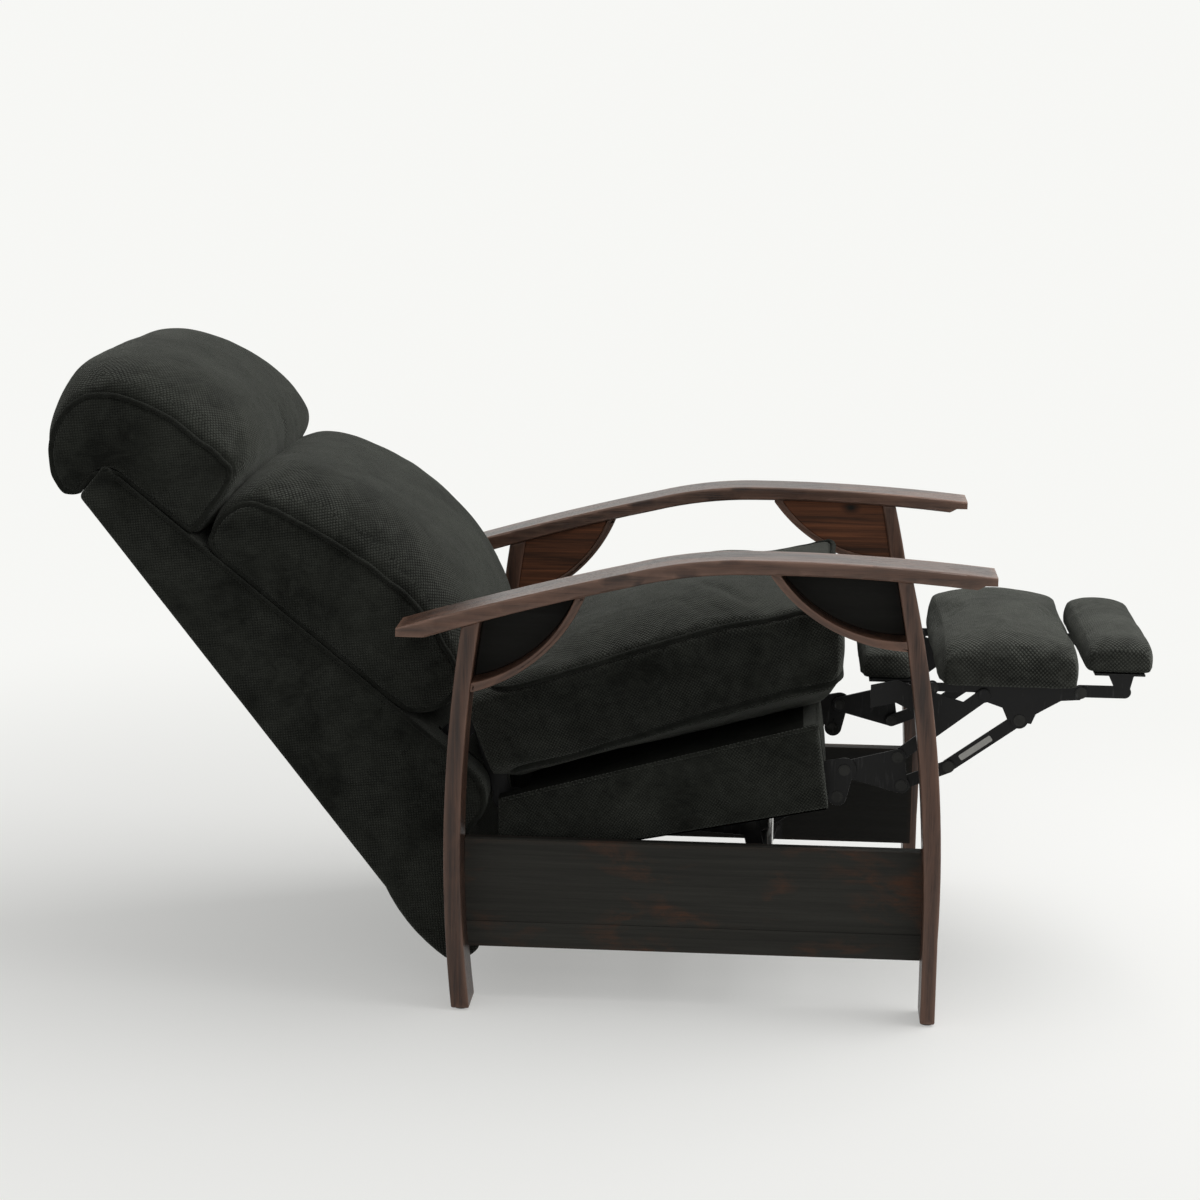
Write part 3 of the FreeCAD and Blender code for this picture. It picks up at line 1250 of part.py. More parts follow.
def build():
    parts = {}
    for name, solid in side_frame().items():
        parts[name + "_left"] = solid
        parts[name + "_right"] = mirrored(solid)
    parts["foot_glides"] = foot_glides()
    parts["rear_cross_rail"] = rear_cross_rail()
    parts["front_cross_tube"] = cross_tube(FRONT_TUBE)
    parts["rear_cross_tube"] = cross_tube(REAR_TUBE)
    parts["base_plate_left"] = base_plate()
    parts["base_plate_right"] = mirrored(base_plate())
    parts["stop_rods"] = both(stop_rod())
    parts["base_pins"] = base_pins()
    parts["frame_bolts"] = frame_bolts()
    parts["front_swing_links"] = both(swing_link(FRONT_SWING, FRONT_SEAT_PIN))
    parts["rear_swing_links"] = both(rear_swing_link())
    parts["seat_plate_left"] = seat_plate()
    parts["seat_plate_right"] = mirrored(seat_plate())
    parts["seat_pins"] = seat_pins()
    parts["seat_spacers"] = group([
        both(seat_spacer((FRONT_SPACER_X, FRONT_SPACER_Z))),
        both(seat_spacer((REAR_SPACER_X, REAR_SPACER_Z))),
    ])
    parts["deck_side_rail_left"] = deck_side_rail()
    parts["deck_side_rail_right"] = mirrored(deck_side_rail())
    parts["deck_front_rail"] = deck_front_rail()
    parts["deck_rear_rail"] = plate_slots(deck_cross_rail(False))
    parts["deck_cover"] = deck_cover()
    parts["seat_springs"] = seat_springs()
    parts["seat_cushion"] = seat_cushion()
    parts["back_post_left"] = back_post()
    parts["back_post_right"] = mirrored(back_post())
    parts["back_cross_rails"] = back_cross_rails()
    parts["back_springs"] = back_springs()
    parts["back_brackets"] = both(back_bracket())
    parts["back_shell"] = back_shell()
    parts["back_cushion"] = back_cushion()
    parts["head_roll"] = head_roll()
    parts["carrier_plates"] = both(carrier_plate())
    parts["carrier_rivets"] = carrier_rivets()
    parts["lower_links"] = both(lower_link())
    parts["lower_link_rivets"] = both(rivet(KNEE_PIN, BRACKET_LAYER, FRONT_LINK_LAYER))
    parts["front_links"] = both(front_link())
    parts["upper_links"] = both(upper_link())
    parts["ottoman_brackets"] = both(ottoman_bracket())
    parts["ottoman_rivets"] = ottoman_rivets()
    parts["main_pad"] = pad(MAIN_PAD_REAR_X, MAIN_PAD_FRONT_X, MAIN_PAD_BOTTOM_Z, MAIN_PAD_THICK,
                            MAIN_PAD_CROWN, MAIN_PAD_HALF_WIDTH)
    parts["foot_brackets"] = both(foot_bracket())
    parts["foot_pad"] = pad(FOOT_PAD_REAR_X, FOOT_PAD_FRONT_X, FOOT_PAD_BOTTOM_Z, FOOT_PAD_THICK,
                            FOOT_PAD_CROWN, FOOT_PAD_HALF_WIDTH)
    parts["filler_brackets"] = both(filler_bracket())
    parts["filler_pad"] = pad(FILLER_REAR_X, FILLER_FRONT_X, MAIN_PAD_BOTTOM_Z, FILLER_THICK,
                              FILLER_CROWN, FILLER_HALF_WIDTH)
    return parts


def main():
    parts = build()
    extent = [0, 0]
    for shape in parts.values():
        limits = shape.optimalBoundingBox(True)
        extent = [min(extent[0], limits.XMin), max(extent[1], limits.XMax)]
    shift = -(extent[0] + extent[1]) / 2
    os.makedirs("parts", exist_ok=True)
    for name, shape in parts.items():
        shape.translate(v(shift, 0, 0))
        limits = shape.optimalBoundingBox(True)
        shape.exportStep("parts/" + name + ".step")
        print(name, len(shape.Solids), len(shape.Faces), "valid" if shape.isValid() else "INVALID",
              [round(value, 1) for value in (limits.XMin, limits.YMin, limits.ZMin, limits.XMax, limits.YMax, limits.ZMax)])
    print("nodes", len(parts), "shift", shift)
    for name, pin, travel in joint_table():
        print("joint", name, round(pin[0] + shift, 4), pin[1], round(travel, 4))


main()
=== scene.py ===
"""Push-back recliner with bow arms, dressed around its solid frame.

Lengths are metres. X runs forward, Y to the sitter's left, and Z up from the floor.
"""
from math import cos, exp, pi, radians, sin

import bmesh
import bpy
import numpy
from bpy.props import FloatProperty, FloatVectorProperty, PointerProperty
from mathutils import Matrix, Vector, noise
from mathutils.bvhtree import BVHTree
from mathutils.kdtree import KDTree


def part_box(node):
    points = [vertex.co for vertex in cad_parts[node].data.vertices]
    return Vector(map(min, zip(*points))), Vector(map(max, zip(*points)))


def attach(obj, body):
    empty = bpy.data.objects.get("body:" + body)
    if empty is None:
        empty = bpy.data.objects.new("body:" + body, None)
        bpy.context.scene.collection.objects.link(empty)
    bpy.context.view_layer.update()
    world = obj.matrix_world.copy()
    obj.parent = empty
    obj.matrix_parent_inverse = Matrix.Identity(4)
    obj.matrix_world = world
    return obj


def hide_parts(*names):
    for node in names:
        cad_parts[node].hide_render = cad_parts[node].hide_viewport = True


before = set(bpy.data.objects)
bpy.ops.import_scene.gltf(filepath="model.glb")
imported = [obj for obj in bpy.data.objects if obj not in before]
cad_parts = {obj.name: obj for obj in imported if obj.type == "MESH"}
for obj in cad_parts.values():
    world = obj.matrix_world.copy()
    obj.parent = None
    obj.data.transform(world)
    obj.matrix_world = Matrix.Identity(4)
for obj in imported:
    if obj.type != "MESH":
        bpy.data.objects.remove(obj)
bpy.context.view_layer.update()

bl_info = {
    "name": "Bow-arm push-back recliner",
    "version": (1, 0, 0),
    "blender": (4, 5, 0),
    "location": "3D View > Sidebar > Recliner",
    "description": "Dresses the recliner's solid frame with timber, steel and padded upholstery",
    "category": "Add Mesh",
}

FORWARD = Vector((1, 0, 0))
ACROSS = Vector((0, 1, 0))
UPRIGHT = Vector((0, 0, 1))

# Side-view landmarks, measured forward from the middle between the feet
ORIGIN_X = 0.1413855
BACK_SEAM = (-0.403, 0.393)
BACK_SLOPE = radians(39.2)
SEAT_SLOPE = radians(17.7)
DECK_SLOPE = radians(13.4)
SEAM_Y = 0.262

# Points this close are one
NODE_WELD = 0.00002
CUT_WELD = 0.00001

# Degrees by which two faces turn: still flat, the rim of a curved board, the rim of a padded box, a corner
FLAT_TURN = 0.4
CURVE_TURN = 12
RIM_TURN = 25
CORNER_TURN = 35

# Degrees above which an edge is shaded sharp
HARD_SHADING = 32
SOFT_SHADING = 38
LABEL_SHADING = 30

# Boards: spacing of the cuts, spacing of the wear's samples, and how far the wear reaches
BOARD_SLICE = 0.009
WEAR_STEP = 0.003
WEAR_REACH = 0.005

# Padded boxes: spacing of the cuts and of the rim's samples, depth that counts as the side, reach of a rim
BOX_SLICE = 0.02
RIM_STEP = 0.01
SIDE_FACE = 0.001
RIM_REACH = 0.05

# Ripples of the covers: height of each, and how fast it changes along the cloth
LONG_RIPPLE, LONG_RATE = 0.0022, 11
SHORT_RIPPLE, SHORT_RATE = 0.0008, 34
PUCKER, PUCKER_RATE, PUCKER_REACH = 0.0011, 60, 0.04

# Stands in for the seams of a piece that has none
NOWHERE = Vector((0, 0, -9))

# A cushion is held where it lies this close to the back, and its crown rises over this height
BACK_CONTACT = -0.005
CROWN_RISE = 0.07

# The cloth simulation
SWELL_FRAMES = 20
SWELL_SETTINGS = {
    "quality": 4,
    "mass": 0.3,
    "tension_stiffness": 18,
    "compression_stiffness": 18,
    "shear_stiffness": 8,
    "bending_stiffness": 1.5,
    "use_pressure": True,
}

# Turn that brings the weave to its diagonal
DIAGONAL = (0, 0, radians(45))

# Sockets of the colour mixing node
MIX_SHARE, MIX_A, MIX_B, MIX_RESULT = 0, 6, 7, 2

# Pale background, and where the floor starts and ends to run out into it
BACKDROP = (0.93, 0.932, 0.910, 1)
FLOOR_NEAR = 0.5
FLOOR_FAR = 2.4
FLOOR_SIZE = 30

# Camera, found from the corners of the solid frame: forward, up and across, then its turns
CAMERA_PLACE = (0.10463, 1.26401, -3.8318)
CAMERA_YAW = -0.0677225
CAMERA_PITCH = 0.1944167
CAMERA_ROLL = 0.0126698
CAMERA_LENS = 80.945


# Sizes and colours that a user would change

def tint(name, text, value):
    return FloatVectorProperty(name=name, description=text, subtype="COLOR", default=value, min=0, max=1)


def number(name, text, value, low=0, **limits):
    return FloatProperty(name=name, description=text, default=value, min=low, **limits)


def distance(name, text, value, low, high):
    return number(name, text, value, low, max=high, unit="LENGTH")


class ReclinerUpholstery(bpy.types.PropertyGroup):
    """Cloth, filling and piping."""
    cloth_dark: tint("Cloth, dark", "Colour in the hollows of the weave", (0.0062, 0.0068, 0.0054))
    cloth_light: tint("Cloth, light", "Colour where the pile is brushed up", (0.043, 0.046, 0.038))
    pad_dark: tint("Legrest cloth, dark", "Colour in the hollows of its weave", (0.010, 0.0108, 0.009))
    pad_light: tint("Legrest cloth, light", "Colour where its pile is brushed up", (0.084, 0.088, 0.076))
    yarn_pitch: distance("Yarn pitch", "Width of one yarn of the basket weave", 0.0036, 0.001, 0.02)
    piping_radius: distance("Piping radius", "Radius of the covered cord in the seams", 0.0038, 0.001, 0.01)
    pressure: number("Filling pressure", "Pressure that swells each cushion", 4.0, max=20)
    seam_depth: distance("Seam depth", "How deep the seams pull into the padding", 0.006, 0, 0.02)


class ReclinerTimber(bpy.types.PropertyGroup):
    """Stained boards."""
    edge_round: distance("Edge rounding", "Radius on the edges of the boards", 0.0025, 0, 0.01)
    stain_dark: tint("Stain, dark", "Colour in the pores and late wood", (0.017, 0.0085, 0.0056))
    stain_light: tint("Stain, light", "Colour of the early wood", (0.130, 0.061, 0.037))
    rubbed: tint("Rubbed edge", "Colour where the stain is rubbed through", (0.265, 0.150, 0.105))
    panel_dark: tint("Panel stain", "Near-black stain of the panels", (0.0165, 0.0160, 0.0138))
    panel_warm: tint("Panel wood", "Red-brown wood under the panel stain", (0.088, 0.045, 0.029))
    groove_height: distance("Panel groove", "Height above the side panel's lower edge", 0.036, 0.01, 0.1)


class ReclinerSteel(bpy.types.PropertyGroup):
    """Painted, plated and sprung metal."""
    edge_round: distance("Edge rounding", "Radius on the edges of the stamped plates", 0.0008, 0, 0.002)
    paint: tint("Paint", "Satin black of the mechanism", (0.0062, 0.0062, 0.0062))


class ReclinerStage(bpy.types.PropertyGroup):
    """Floor, lamps and camera."""
    paper: tint("Floor", "Colour of the studio floor", (0.55, 0.55, 0.54))
    paper_seen: tint("Floor, seen", "Floor colour that the camera sees", (0.98, 0.98, 0.96))
    glow_share: number("Floor glow", "Share of the floor near the chair that needs no lamp", 0.38, max=1)
    key_power: number("Key lamp", "Power of the large overhead lamp", 70.0, unit="POWER")
    fill_power: number("Fill lamp", "Power of the lamp beside the camera", 6.0, unit="POWER")
    room: number("Room light", "Strength of the even light from all around", 0.37)


# Places and directions

def side_point(x, z, y):
    """A point of the side view, with x measured from the middle between the feet."""
    return Vector((x + ORIGIN_X, y, z))


def back_point(s, d, y):
    """s climbs the back from its seam with the seat; d sinks behind its front face."""
    x = BACK_SEAM[0] - s * cos(BACK_SLOPE) - d * sin(BACK_SLOPE)
    z = BACK_SEAM[1] + s * sin(BACK_SLOPE) - d * cos(BACK_SLOPE)
    return side_point(x, z, y)


def back_depth(place):
    """How far a point lies behind the front face of the back."""
    x = place.x - ORIGIN_X - BACK_SEAM[0]
    z = place.z - BACK_SEAM[1]
    return -x * sin(BACK_SLOPE) - z * cos(BACK_SLOPE)


def against_back(place):
    """True where a cushion lies on the front face of the back."""
    return back_depth(place) > BACK_CONTACT


def below(height):
    """True where a cushion lies on the board under it."""
    return lambda place: place.z < height


def slope_axes(slope):
    """The directions along and out of a face that climbs forward by slope."""
    return (cos(slope), 0, sin(slope)), (-sin(slope), 0, cos(slope))


def round_the_front(near):
    """A line on the near side, carried on to the far side as its mirror."""
    return near + [Vector((p.x, -p.y, p.z)) for p in reversed(near)]


def ramped(value, low, high):
    """0 below low, 1 above high, smooth between."""
    share = min(1, max(0, (value - low) / (high - low)))
    return share * share * (3 - 2 * share)


def middle_share(place):
    """1 over the middle of a cushion, down to nothing at its side seams."""
    return 1 - min(1, abs(place.y) / SEAM_Y) ** 4


def crowned(height):
    """Fill the middle of a back cushion out by height, down to nothing at its sides and where it rests."""
    def shape(place, normal):
        return place + normal * height * middle_share(place) * ramped(-back_depth(place), 0.0, CROWN_RISE)
    return shape


# Mesh helpers

def mesh_of(bm, name):
    mesh = bpy.data.meshes.new(name)
    bm.to_mesh(mesh)
    bm.free()
    return mesh


def linked(name, data):
    obj = bpy.data.objects.new(name, data)
    bpy.context.scene.collection.objects.link(obj)
    return obj


def piece(name, mesh, body, finish_name, *replaced):
    """Link a finished mesh as a piece that rides on a body."""
    obj = linked(name, mesh)
    mesh.materials.clear()
    mesh.materials.append(finish(finish_name))
    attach(obj, body)
    if replaced:
        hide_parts(*replaced)
    return obj


def smooth_shaded(mesh, angle):
    mesh.shade_smooth()
    mesh.set_sharp_from_angle(angle=radians(angle))


def hard_piece(node, mesh, body, finish_name):
    """A board or plate in place of its node, shaded flat between its rounded edges."""
    smooth_shaded(mesh, HARD_SHADING)
    obj = piece(node + "_dressed", mesh, body, finish_name, node)
    even = obj.modifiers.new("Even", "WEIGHTED_NORMAL")
    even.keep_sharp = True


def merged_copy(node):
    """The frame node's shape as one clean bmesh with flat faces joined up."""
    bm = bmesh.new()
    bm.from_mesh(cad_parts[node].data)
    bmesh.ops.remove_doubles(bm, verts=bm.verts, dist=NODE_WELD)
    bmesh.ops.dissolve_limit(bm, angle_limit=radians(FLAT_TURN), verts=bm.verts, edges=bm.edges)
    return bm


def turned_edges(bm, turn):
    """The edges where two faces turn by more than so many degrees."""
    return [e for e in bm.edges if len(e.link_faces) == 2 and e.calc_face_angle(0) > radians(turn)]


def round_edges(bm, edges, radius, segments):
    return bmesh.ops.bevel(bm, geom=edges, offset=radius, offset_type="OFFSET", segments=segments,
                           profile=0.5, affect="EDGES", clamp_overlap=True, material=-1)


def cut(bm, place, direction):
    everything = bm.verts[:] + bm.edges[:] + bm.faces[:]
    bmesh.ops.bisect_plane(bm, geom=everything, dist=CUT_WELD, plane_co=place, plane_no=direction)


def sliced(bm, spacing, directions):
    """Cut the mesh by evenly spaced planes so that its flat faces can bend."""
    for direction in directions:
        reach = [v.co.dot(direction) for v in bm.verts]
        low = min(reach)
        count = max(1, round((max(reach) - low) / spacing))
        for i in range(1, count):
            cut(bm, direction * (low + (max(reach) - low) * i / count), direction)


def tree_of(points):
    tree = KDTree(len(points))
    for i, point in enumerate(points):
        tree.insert(point, i)
    tree.balance()
    return tree


def edge_samples(edges, step):
    """Points along a few edges."""
    points = []
    for edge in edges:
        a, b = (v.co for v in edge.verts)
        count = max(1, round(edge.calc_length() / step))
        points += [a.lerp(b, i / count) for i in range(count + 1)]
    return points


def mark_wear(mesh, points, reach):
    """Store how close each vertex is to a corner, for rubbed edges in the finish."""
    tree = tree_of(points)
    wear = mesh.attributes.new("edge_wear", "FLOAT", "POINT")
    wear.data.foreach_set("value", [exp(-tree.find(v.co)[2] / reach) for v in mesh.vertices])


def gathered(items, key, width=1, kind=float):
    """One property of many parts of a mesh as an array."""
    values = numpy.empty(len(items) * width, dtype=kind)
    items.foreach_get(key, values)
    return values


def lay_weave(mesh, slope):
    """Lay the cloth's threads along the piece: a flat map in metres, chosen by each face's direction."""
    along, out = (numpy.array(axis) for axis in slope_axes(slope))
    across = numpy.array((0.0, 1.0, 0.0))
    totals = gathered(mesh.polygons, "loop_total", kind=int)
    corners = gathered(mesh.loops, "vertex_index", kind=int)
    normals = numpy.repeat(gathered(mesh.polygons, "normal", 3).reshape(-1, 3), totals, axis=0)
    points = gathered(mesh.vertices, "co", 3).reshape(-1, 3)[corners]
    facing = numpy.abs(numpy.stack([normals @ across, normals @ out, normals @ along], axis=1))
    choice = facing.argmax(axis=1)
    u = numpy.where(choice == 2, points @ out, points @ along)
    v = numpy.where(choice == 0, points @ out, points @ across)
    layer = mesh.uv_layers.new(name="Weave")
    layer.data.foreach_set("uv", numpy.stack([u, v], axis=1).astype("f").ravel())


def remeshed(source, size):
    """Even quads over a closed shape."""
    holder = linked("start", source)
    grid = holder.modifiers.new("Remesh", "REMESH")
    grid.mode = "VOXEL"
    grid.voxel_size = size
    graph = bpy.context.evaluated_depsgraph_get()
    mesh = bpy.data.meshes.new_from_object(holder.evaluated_get(graph))
    bpy.data.objects.remove(holder)
    return mesh


def curve_mesh(name, points, kind, cyclic, **settings):
    """The mesh of a curve with these control points."""
    data = bpy.data.curves.new(name, "CURVE")
    data.dimensions = "3D"
    for key, value in settings.items():
        setattr(data, key, value)
    spline = data.splines.new(kind)
    spline.points.add(len(points) - 1)
    for control, point in zip(spline.points, points):
        control.co = (*point, 1)
    spline.order_u = 3
    spline.use_cyclic_u = cyclic
    spline.use_endpoint_u = not cyclic
    holder = bpy.data.objects.new(name, data)
    mesh = bpy.data.meshes.new_from_object(holder)
    bpy.data.objects.remove(holder)
    return mesh


def smooth_path(points, cyclic):
    """Evenly smooth line through a few points, as sampled vectors."""
    mesh = curve_mesh("path", points, "NURBS", cyclic, resolution_u=14)
    line = [v.co.copy() for v in mesh.vertices]
    bpy.data.meshes.remove(mesh)
    return line


def surface_of(mesh):
    return BVHTree.FromPolygons([v.co for v in mesh.vertices], [p.vertices for p in mesh.polygons])


def laid_on(tree, line, lift):
    """The line dropped onto a surface and lifted a little off it."""
    laid = []
    for point in line:
        place, normal, _, _ = tree.find_nearest(point)
        laid.append(place + normal * lift)
    return laid


def settled(line, cyclic, rounds=6):
    """Take the small kinks out of a line that was dropped onto a surface."""
    for _ in range(rounds):
        last = len(line) - 1
        line = [p if not cyclic and i in (0, last) else (line[i - 1] + p * 2 + line[(i + 1) % len(line)]) / 4
                for i, p in enumerate(line)]
    return line


def cord_mesh(name, line, radius, cyclic):
    """Round covered cord along a sampled line, with its weave laid along it."""
    mesh = curve_mesh(name, line, "POLY", cyclic, bevel_depth=radius, bevel_resolution=2,
                      use_fill_caps=not cyclic)
    bm = bmesh.new()
    bm.from_mesh(mesh)
    bmesh.ops.remove_doubles(bm, verts=bm.verts, dist=CUT_WELD)
    bmesh.ops.recalc_face_normals(bm, faces=bm.faces)
    bm.to_mesh(mesh)
    bm.free()
    mesh.shade_smooth()
    while mesh.uv_layers:
        mesh.uv_layers.remove(mesh.uv_layers[0])
    lay_weave(mesh, BACK_SLOPE)
    return mesh


def swell(obj, held, pressure, cap):
    """Blow the cover up from inside while its held points stay, and keep the result in the mesh."""
    scene = bpy.context.scene
    group = obj.vertex_groups.new(name="held")
    for index, weight in enumerate(held):
        if weight > 0:
            group.add([index], weight, "REPLACE")
    cloth = obj.modifiers.new("Cloth", "CLOTH")
    for key, value in SWELL_SETTINGS.items():
        setattr(cloth.settings, key, value)
    cloth.settings.uniform_pressure_force = pressure
    cloth.settings.effector_weights.gravity = 0
    cloth.settings.vertex_group_mass = "held"
    cloth.point_cache.frame_start = 1
    cloth.point_cache.frame_end = SWELL_FRAMES
    for number in range(1, SWELL_FRAMES + 1):
        scene.frame_set(number)
    graph = bpy.context.evaluated_depsgraph_get()
    swollen = obj.evaluated_get(graph).to_mesh()
    places = [v.co.copy() for v in swollen.vertices]
    obj.evaluated_get(graph).to_mesh_clear()
    obj.modifiers.remove(cloth)
    obj.vertex_groups.remove(group)
    scene.frame_set(1)
    for vertex, place in zip(obj.data.vertices, places):
        move = place - vertex.co
        if move.length > cap:
            move *= cap / move.length
        vertex.co += move


def creased(mesh, seam_tree, width, depth):
    """Pull the cover in along its seams and let it ripple a little between them."""
    normals = [v.normal.copy() for v in mesh.vertices]
    for vertex, normal in zip(mesh.vertices, normals):
        gap = seam_tree.find(vertex.co)[2]
        crease = depth * exp(-(gap / width) ** 2)
        pucker = PUCKER * exp(-gap / PUCKER_REACH) * noise.noise(vertex.co * PUCKER_RATE)
        ripple = (LONG_RIPPLE * noise.noise(vertex.co * LONG_RATE)
                  + SHORT_RIPPLE * noise.noise(vertex.co * SHORT_RATE))
        vertex.co += normal * (ripple + pucker - crease)
    mesh.update()


def piped(name, line, tree, body, cyclic=True, lift=0.6, finish_name="piping_chenille", thickness=1.0):
    """Covered cord laid along a seam, its middle lifted off the cloth by a share of its radius."""
    radius = bpy.context.scene.recliner_upholstery.piping_radius * thickness
    cord = cord_mesh(name, settled(laid_on(tree, line, radius * lift), cyclic), radius, cyclic)
    piece(name, cord, body, finish_name)


def cushion(node, body, seams, slope, rested, spacing, fill, shrink, cap, firmness, shape=None,
            finish_name="charcoal_chenille"):
    """Padded cover grown from the frame's soft solid, with its seams held, creased and piped.

    It is drawn in by shrink and then blown up, and no point moves by more than cap.
    """
    name = node + "_cover"
    upholstery = bpy.context.scene.recliner_upholstery
    bm = merged_copy(node)
    bmesh.ops.triangulate(bm, faces=bm.faces)
    mesh = remeshed(mesh_of(bm, name), spacing)
    if shape:
        places = [shape(v.co, v.normal) for v in mesh.vertices]
        for vertex, place in zip(mesh.vertices, places):
            vertex.co = place
        mesh.update()
    tree = surface_of(mesh)
    lines = [laid_on(tree, smooth_path(path, True), 0) for path in seams]
    seam_tree = tree_of([point for line in lines for point in line] or [NOWHERE])
    held = []
    for vertex in mesh.vertices:
        gap = seam_tree.find(vertex.co)[2]
        held.append(1 if rested(vertex.co) else min(1, max(0, (2 * spacing - gap) / spacing)))
    obj = piece(name, mesh, body, finish_name, node)
    normals = [v.normal.copy() for v in mesh.vertices]
    for vertex, normal, weight in zip(mesh.vertices, normals, held):
        vertex.co -= normal * shrink * (1 - weight)
    obj.parent = None
    swell(obj, held, upholstery.pressure * firmness, cap)
    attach(obj, body)
    mesh.update()
    creased(mesh, seam_tree, spacing, upholstery.seam_depth if seams else 0)
    lay_weave(mesh, slope)
    mesh.shade_smooth()
    fine = obj.modifiers.new("Smooth", "SUBSURF")
    fine.levels = 1
    fine.render_levels = 1
    tree = surface_of(mesh)
    for i, line in enumerate(lines):
        piped(f"{name}_piping_{i + 1}", line, tree, body)


# Finishes

def shaded(colour, share):
    """A darker or lighter version of a colour."""
    return tuple(min(1, c * share) for c in colour)


class Nodes:
    """A node tree under construction."""

    def __init__(self, tree):
        self.tree = tree

    def add(self, kind, inputs=None, **settings):
        """A new node, each input linked to a socket or set to a value."""
        node = self.tree.nodes.new(kind)
        for key, value in settings.items():
            setattr(node, key, value)
        for key, value in (inputs or {}).items():
            if isinstance(value, bpy.types.NodeSocket):
                self.tree.links.new(value, node.inputs[key])
            else:
                node.inputs[key].default_value = value
        return node

    def place(self):
        return self.add("ShaderNodeTexCoord").outputs["Object"]

    def math(self, operation, a, b=0):
        return self.add("ShaderNodeMath", {0: a, 1: b}, operation=operation).outputs[0]

    def plus(self, a, b):
        return self.math("ADD", a, b)

    def minus(self, a, b):
        return self.math("SUBTRACT", a, b)

    def times(self, a, b):
        return self.math("MULTIPLY", a, b)

    def blend(self, share, a, b):
        """Mix two colours, each a socket or three values."""
        a, b = (c if isinstance(c, bpy.types.NodeSocket) else (*c[:3], 1) for c in (a, b))
        mix = self.add("ShaderNodeMix", {MIX_SHARE: share, MIX_A: a, MIX_B: b}, data_type="RGBA")
        return mix.outputs[MIX_RESULT]


class Finish(Nodes):
    """A material under construction."""

    def __init__(self, name, **constants):
        self.material = bpy.data.materials.new(name)
        self.material.use_nodes = True
        super().__init__(self.material.node_tree)
        self.shader = self.tree.nodes["Principled BSDF"]
        for socket, value in constants.items():
            self.shader.inputs[socket.replace("_", " ")].default_value = value

    def link(self, value, socket):
        self.tree.links.new(value, self.shader.inputs[socket])

    def mapped(self, vector, scale=(1, 1, 1), turn=(0, 0, 0)):
        return self.add("ShaderNodeMapping", {"Vector": vector, "Scale": scale, "Rotation": turn}).outputs[0]

    def noise(self, vector, scale, detail=3, rough=0.55, distort=0):
        """Clouded pattern. A scale of three values stretches it along an axis."""
        if isinstance(scale, tuple):
            vector = self.mapped(vector, scale)
            scale = 1
        inputs = {"Vector": vector, "Scale": scale, "Detail": detail, "Roughness": rough,
                  "Distortion": distort}
        return self.add("ShaderNodeTexNoise", inputs).outputs["Fac"]

    def spread(self, value, low, high, to_low=0, to_high=1):
        """Stretch a narrow band of a pattern to a full range."""
        inputs = {"Value": value, "From Min": low, "From Max": high, "To Min": to_low, "To Max": to_high}
        return self.add("ShaderNodeMapRange", inputs).outputs[0]

    def part(self, vector, axis):
        return self.add("ShaderNodeSeparateXYZ", {0: vector}).outputs[axis]

    def edge_wear(self):
        return self.add("ShaderNodeAttribute", attribute_name="edge_wear").outputs["Fac"]

    def bump(self, height, depth, strength=1.0, below=None):
        inputs = {"Height": height, "Distance": depth, "Strength": strength}
        if below:
            inputs["Normal"] = below
        return self.add("ShaderNodeBump", inputs).outputs[0]


def cloth_finish(name, weave, pitch=1, sheen=0.2, colours="cloth", dark_share=1, light_share=1):
    """Brushed diagonal basket weave: raised yarns, crushed patches of pile and a soft sheen."""
    cloth = bpy.context.scene.recliner_upholstery
    width = cloth.yarn_pitch * pitch
    dark = shaded(getattr(cloth, colours + "_dark"), dark_share)
    light = shaded(getattr(cloth, colours + "_light"), light_share)
    f = Finish(name, Roughness=0.95, Sheen_Weight=sheen, Sheen_Roughness=0.5,
               Sheen_Tint=(0.92, 0.95, 0.86, 1), Specular_IOR_Level=0.08)
    place = f.place()
    flat = f.add("ShaderNodeUVMap", uv_map="Weave").outputs[0]
    wander = f.add("ShaderNodeTexNoise", {"Vector": place, "Scale": 40, "Detail": 3}).outputs["Color"]
    offset = f.add("ShaderNodeVectorMath", {0: wander, 1: (0.0026, 0.0026, 0)}, operation="MULTIPLY")
    flat = f.add("ShaderNodeVectorMath", {0: flat, 1: offset.outputs[0]}, operation="ADD").outputs[0]
    yarns = f.mapped(flat, (1 / width, 1 / width, 1), DIAGONAL)
    warp, weft = (f.math("ABSOLUTE", f.math("SINE", f.times(f.part(yarns, axis), pi))) for axis in (0, 1))
    fuzz = f.noise(place, 900)
    yarn = f.noise(f.mapped(flat, (90, 500, 1), DIAGONAL), 1, 2)
    patches = f.spread(f.noise(place, 7.5, 5, 0.62, 1.1), 0.38, 0.64)
    strokes = f.noise(f.mapped(place, (1, 1, 1.5), (0, radians(35), 0)), 24, 4, 0.65, 1.8)
    strokes = f.spread(strokes, 0.36, 0.68)
    brushed = f.spread(f.noise(place, 13, 3, 0.6, 0.5), 0.35, 0.62, 0.25, 1)
    height = f.times(f.times(warp, weft), brushed)
    nap = f.plus(f.times(patches, 0.36), f.times(strokes, 0.30))
    raised = f.times(f.minus(height, 0.3), weave)
    grain = f.plus(f.times(fuzz, 0.4), f.times(yarn, 0.24))
    share = f.plus(f.plus(nap, raised), f.minus(grain, 0.20))
    f.link(f.blend(share, dark, light), "Base Color")
    pile = f.bump(f.plus(strokes, fuzz), 0.0012, 0.6)
    f.link(f.bump(height, 0.0016, 0.9, pile), "Normal")
    return f.material


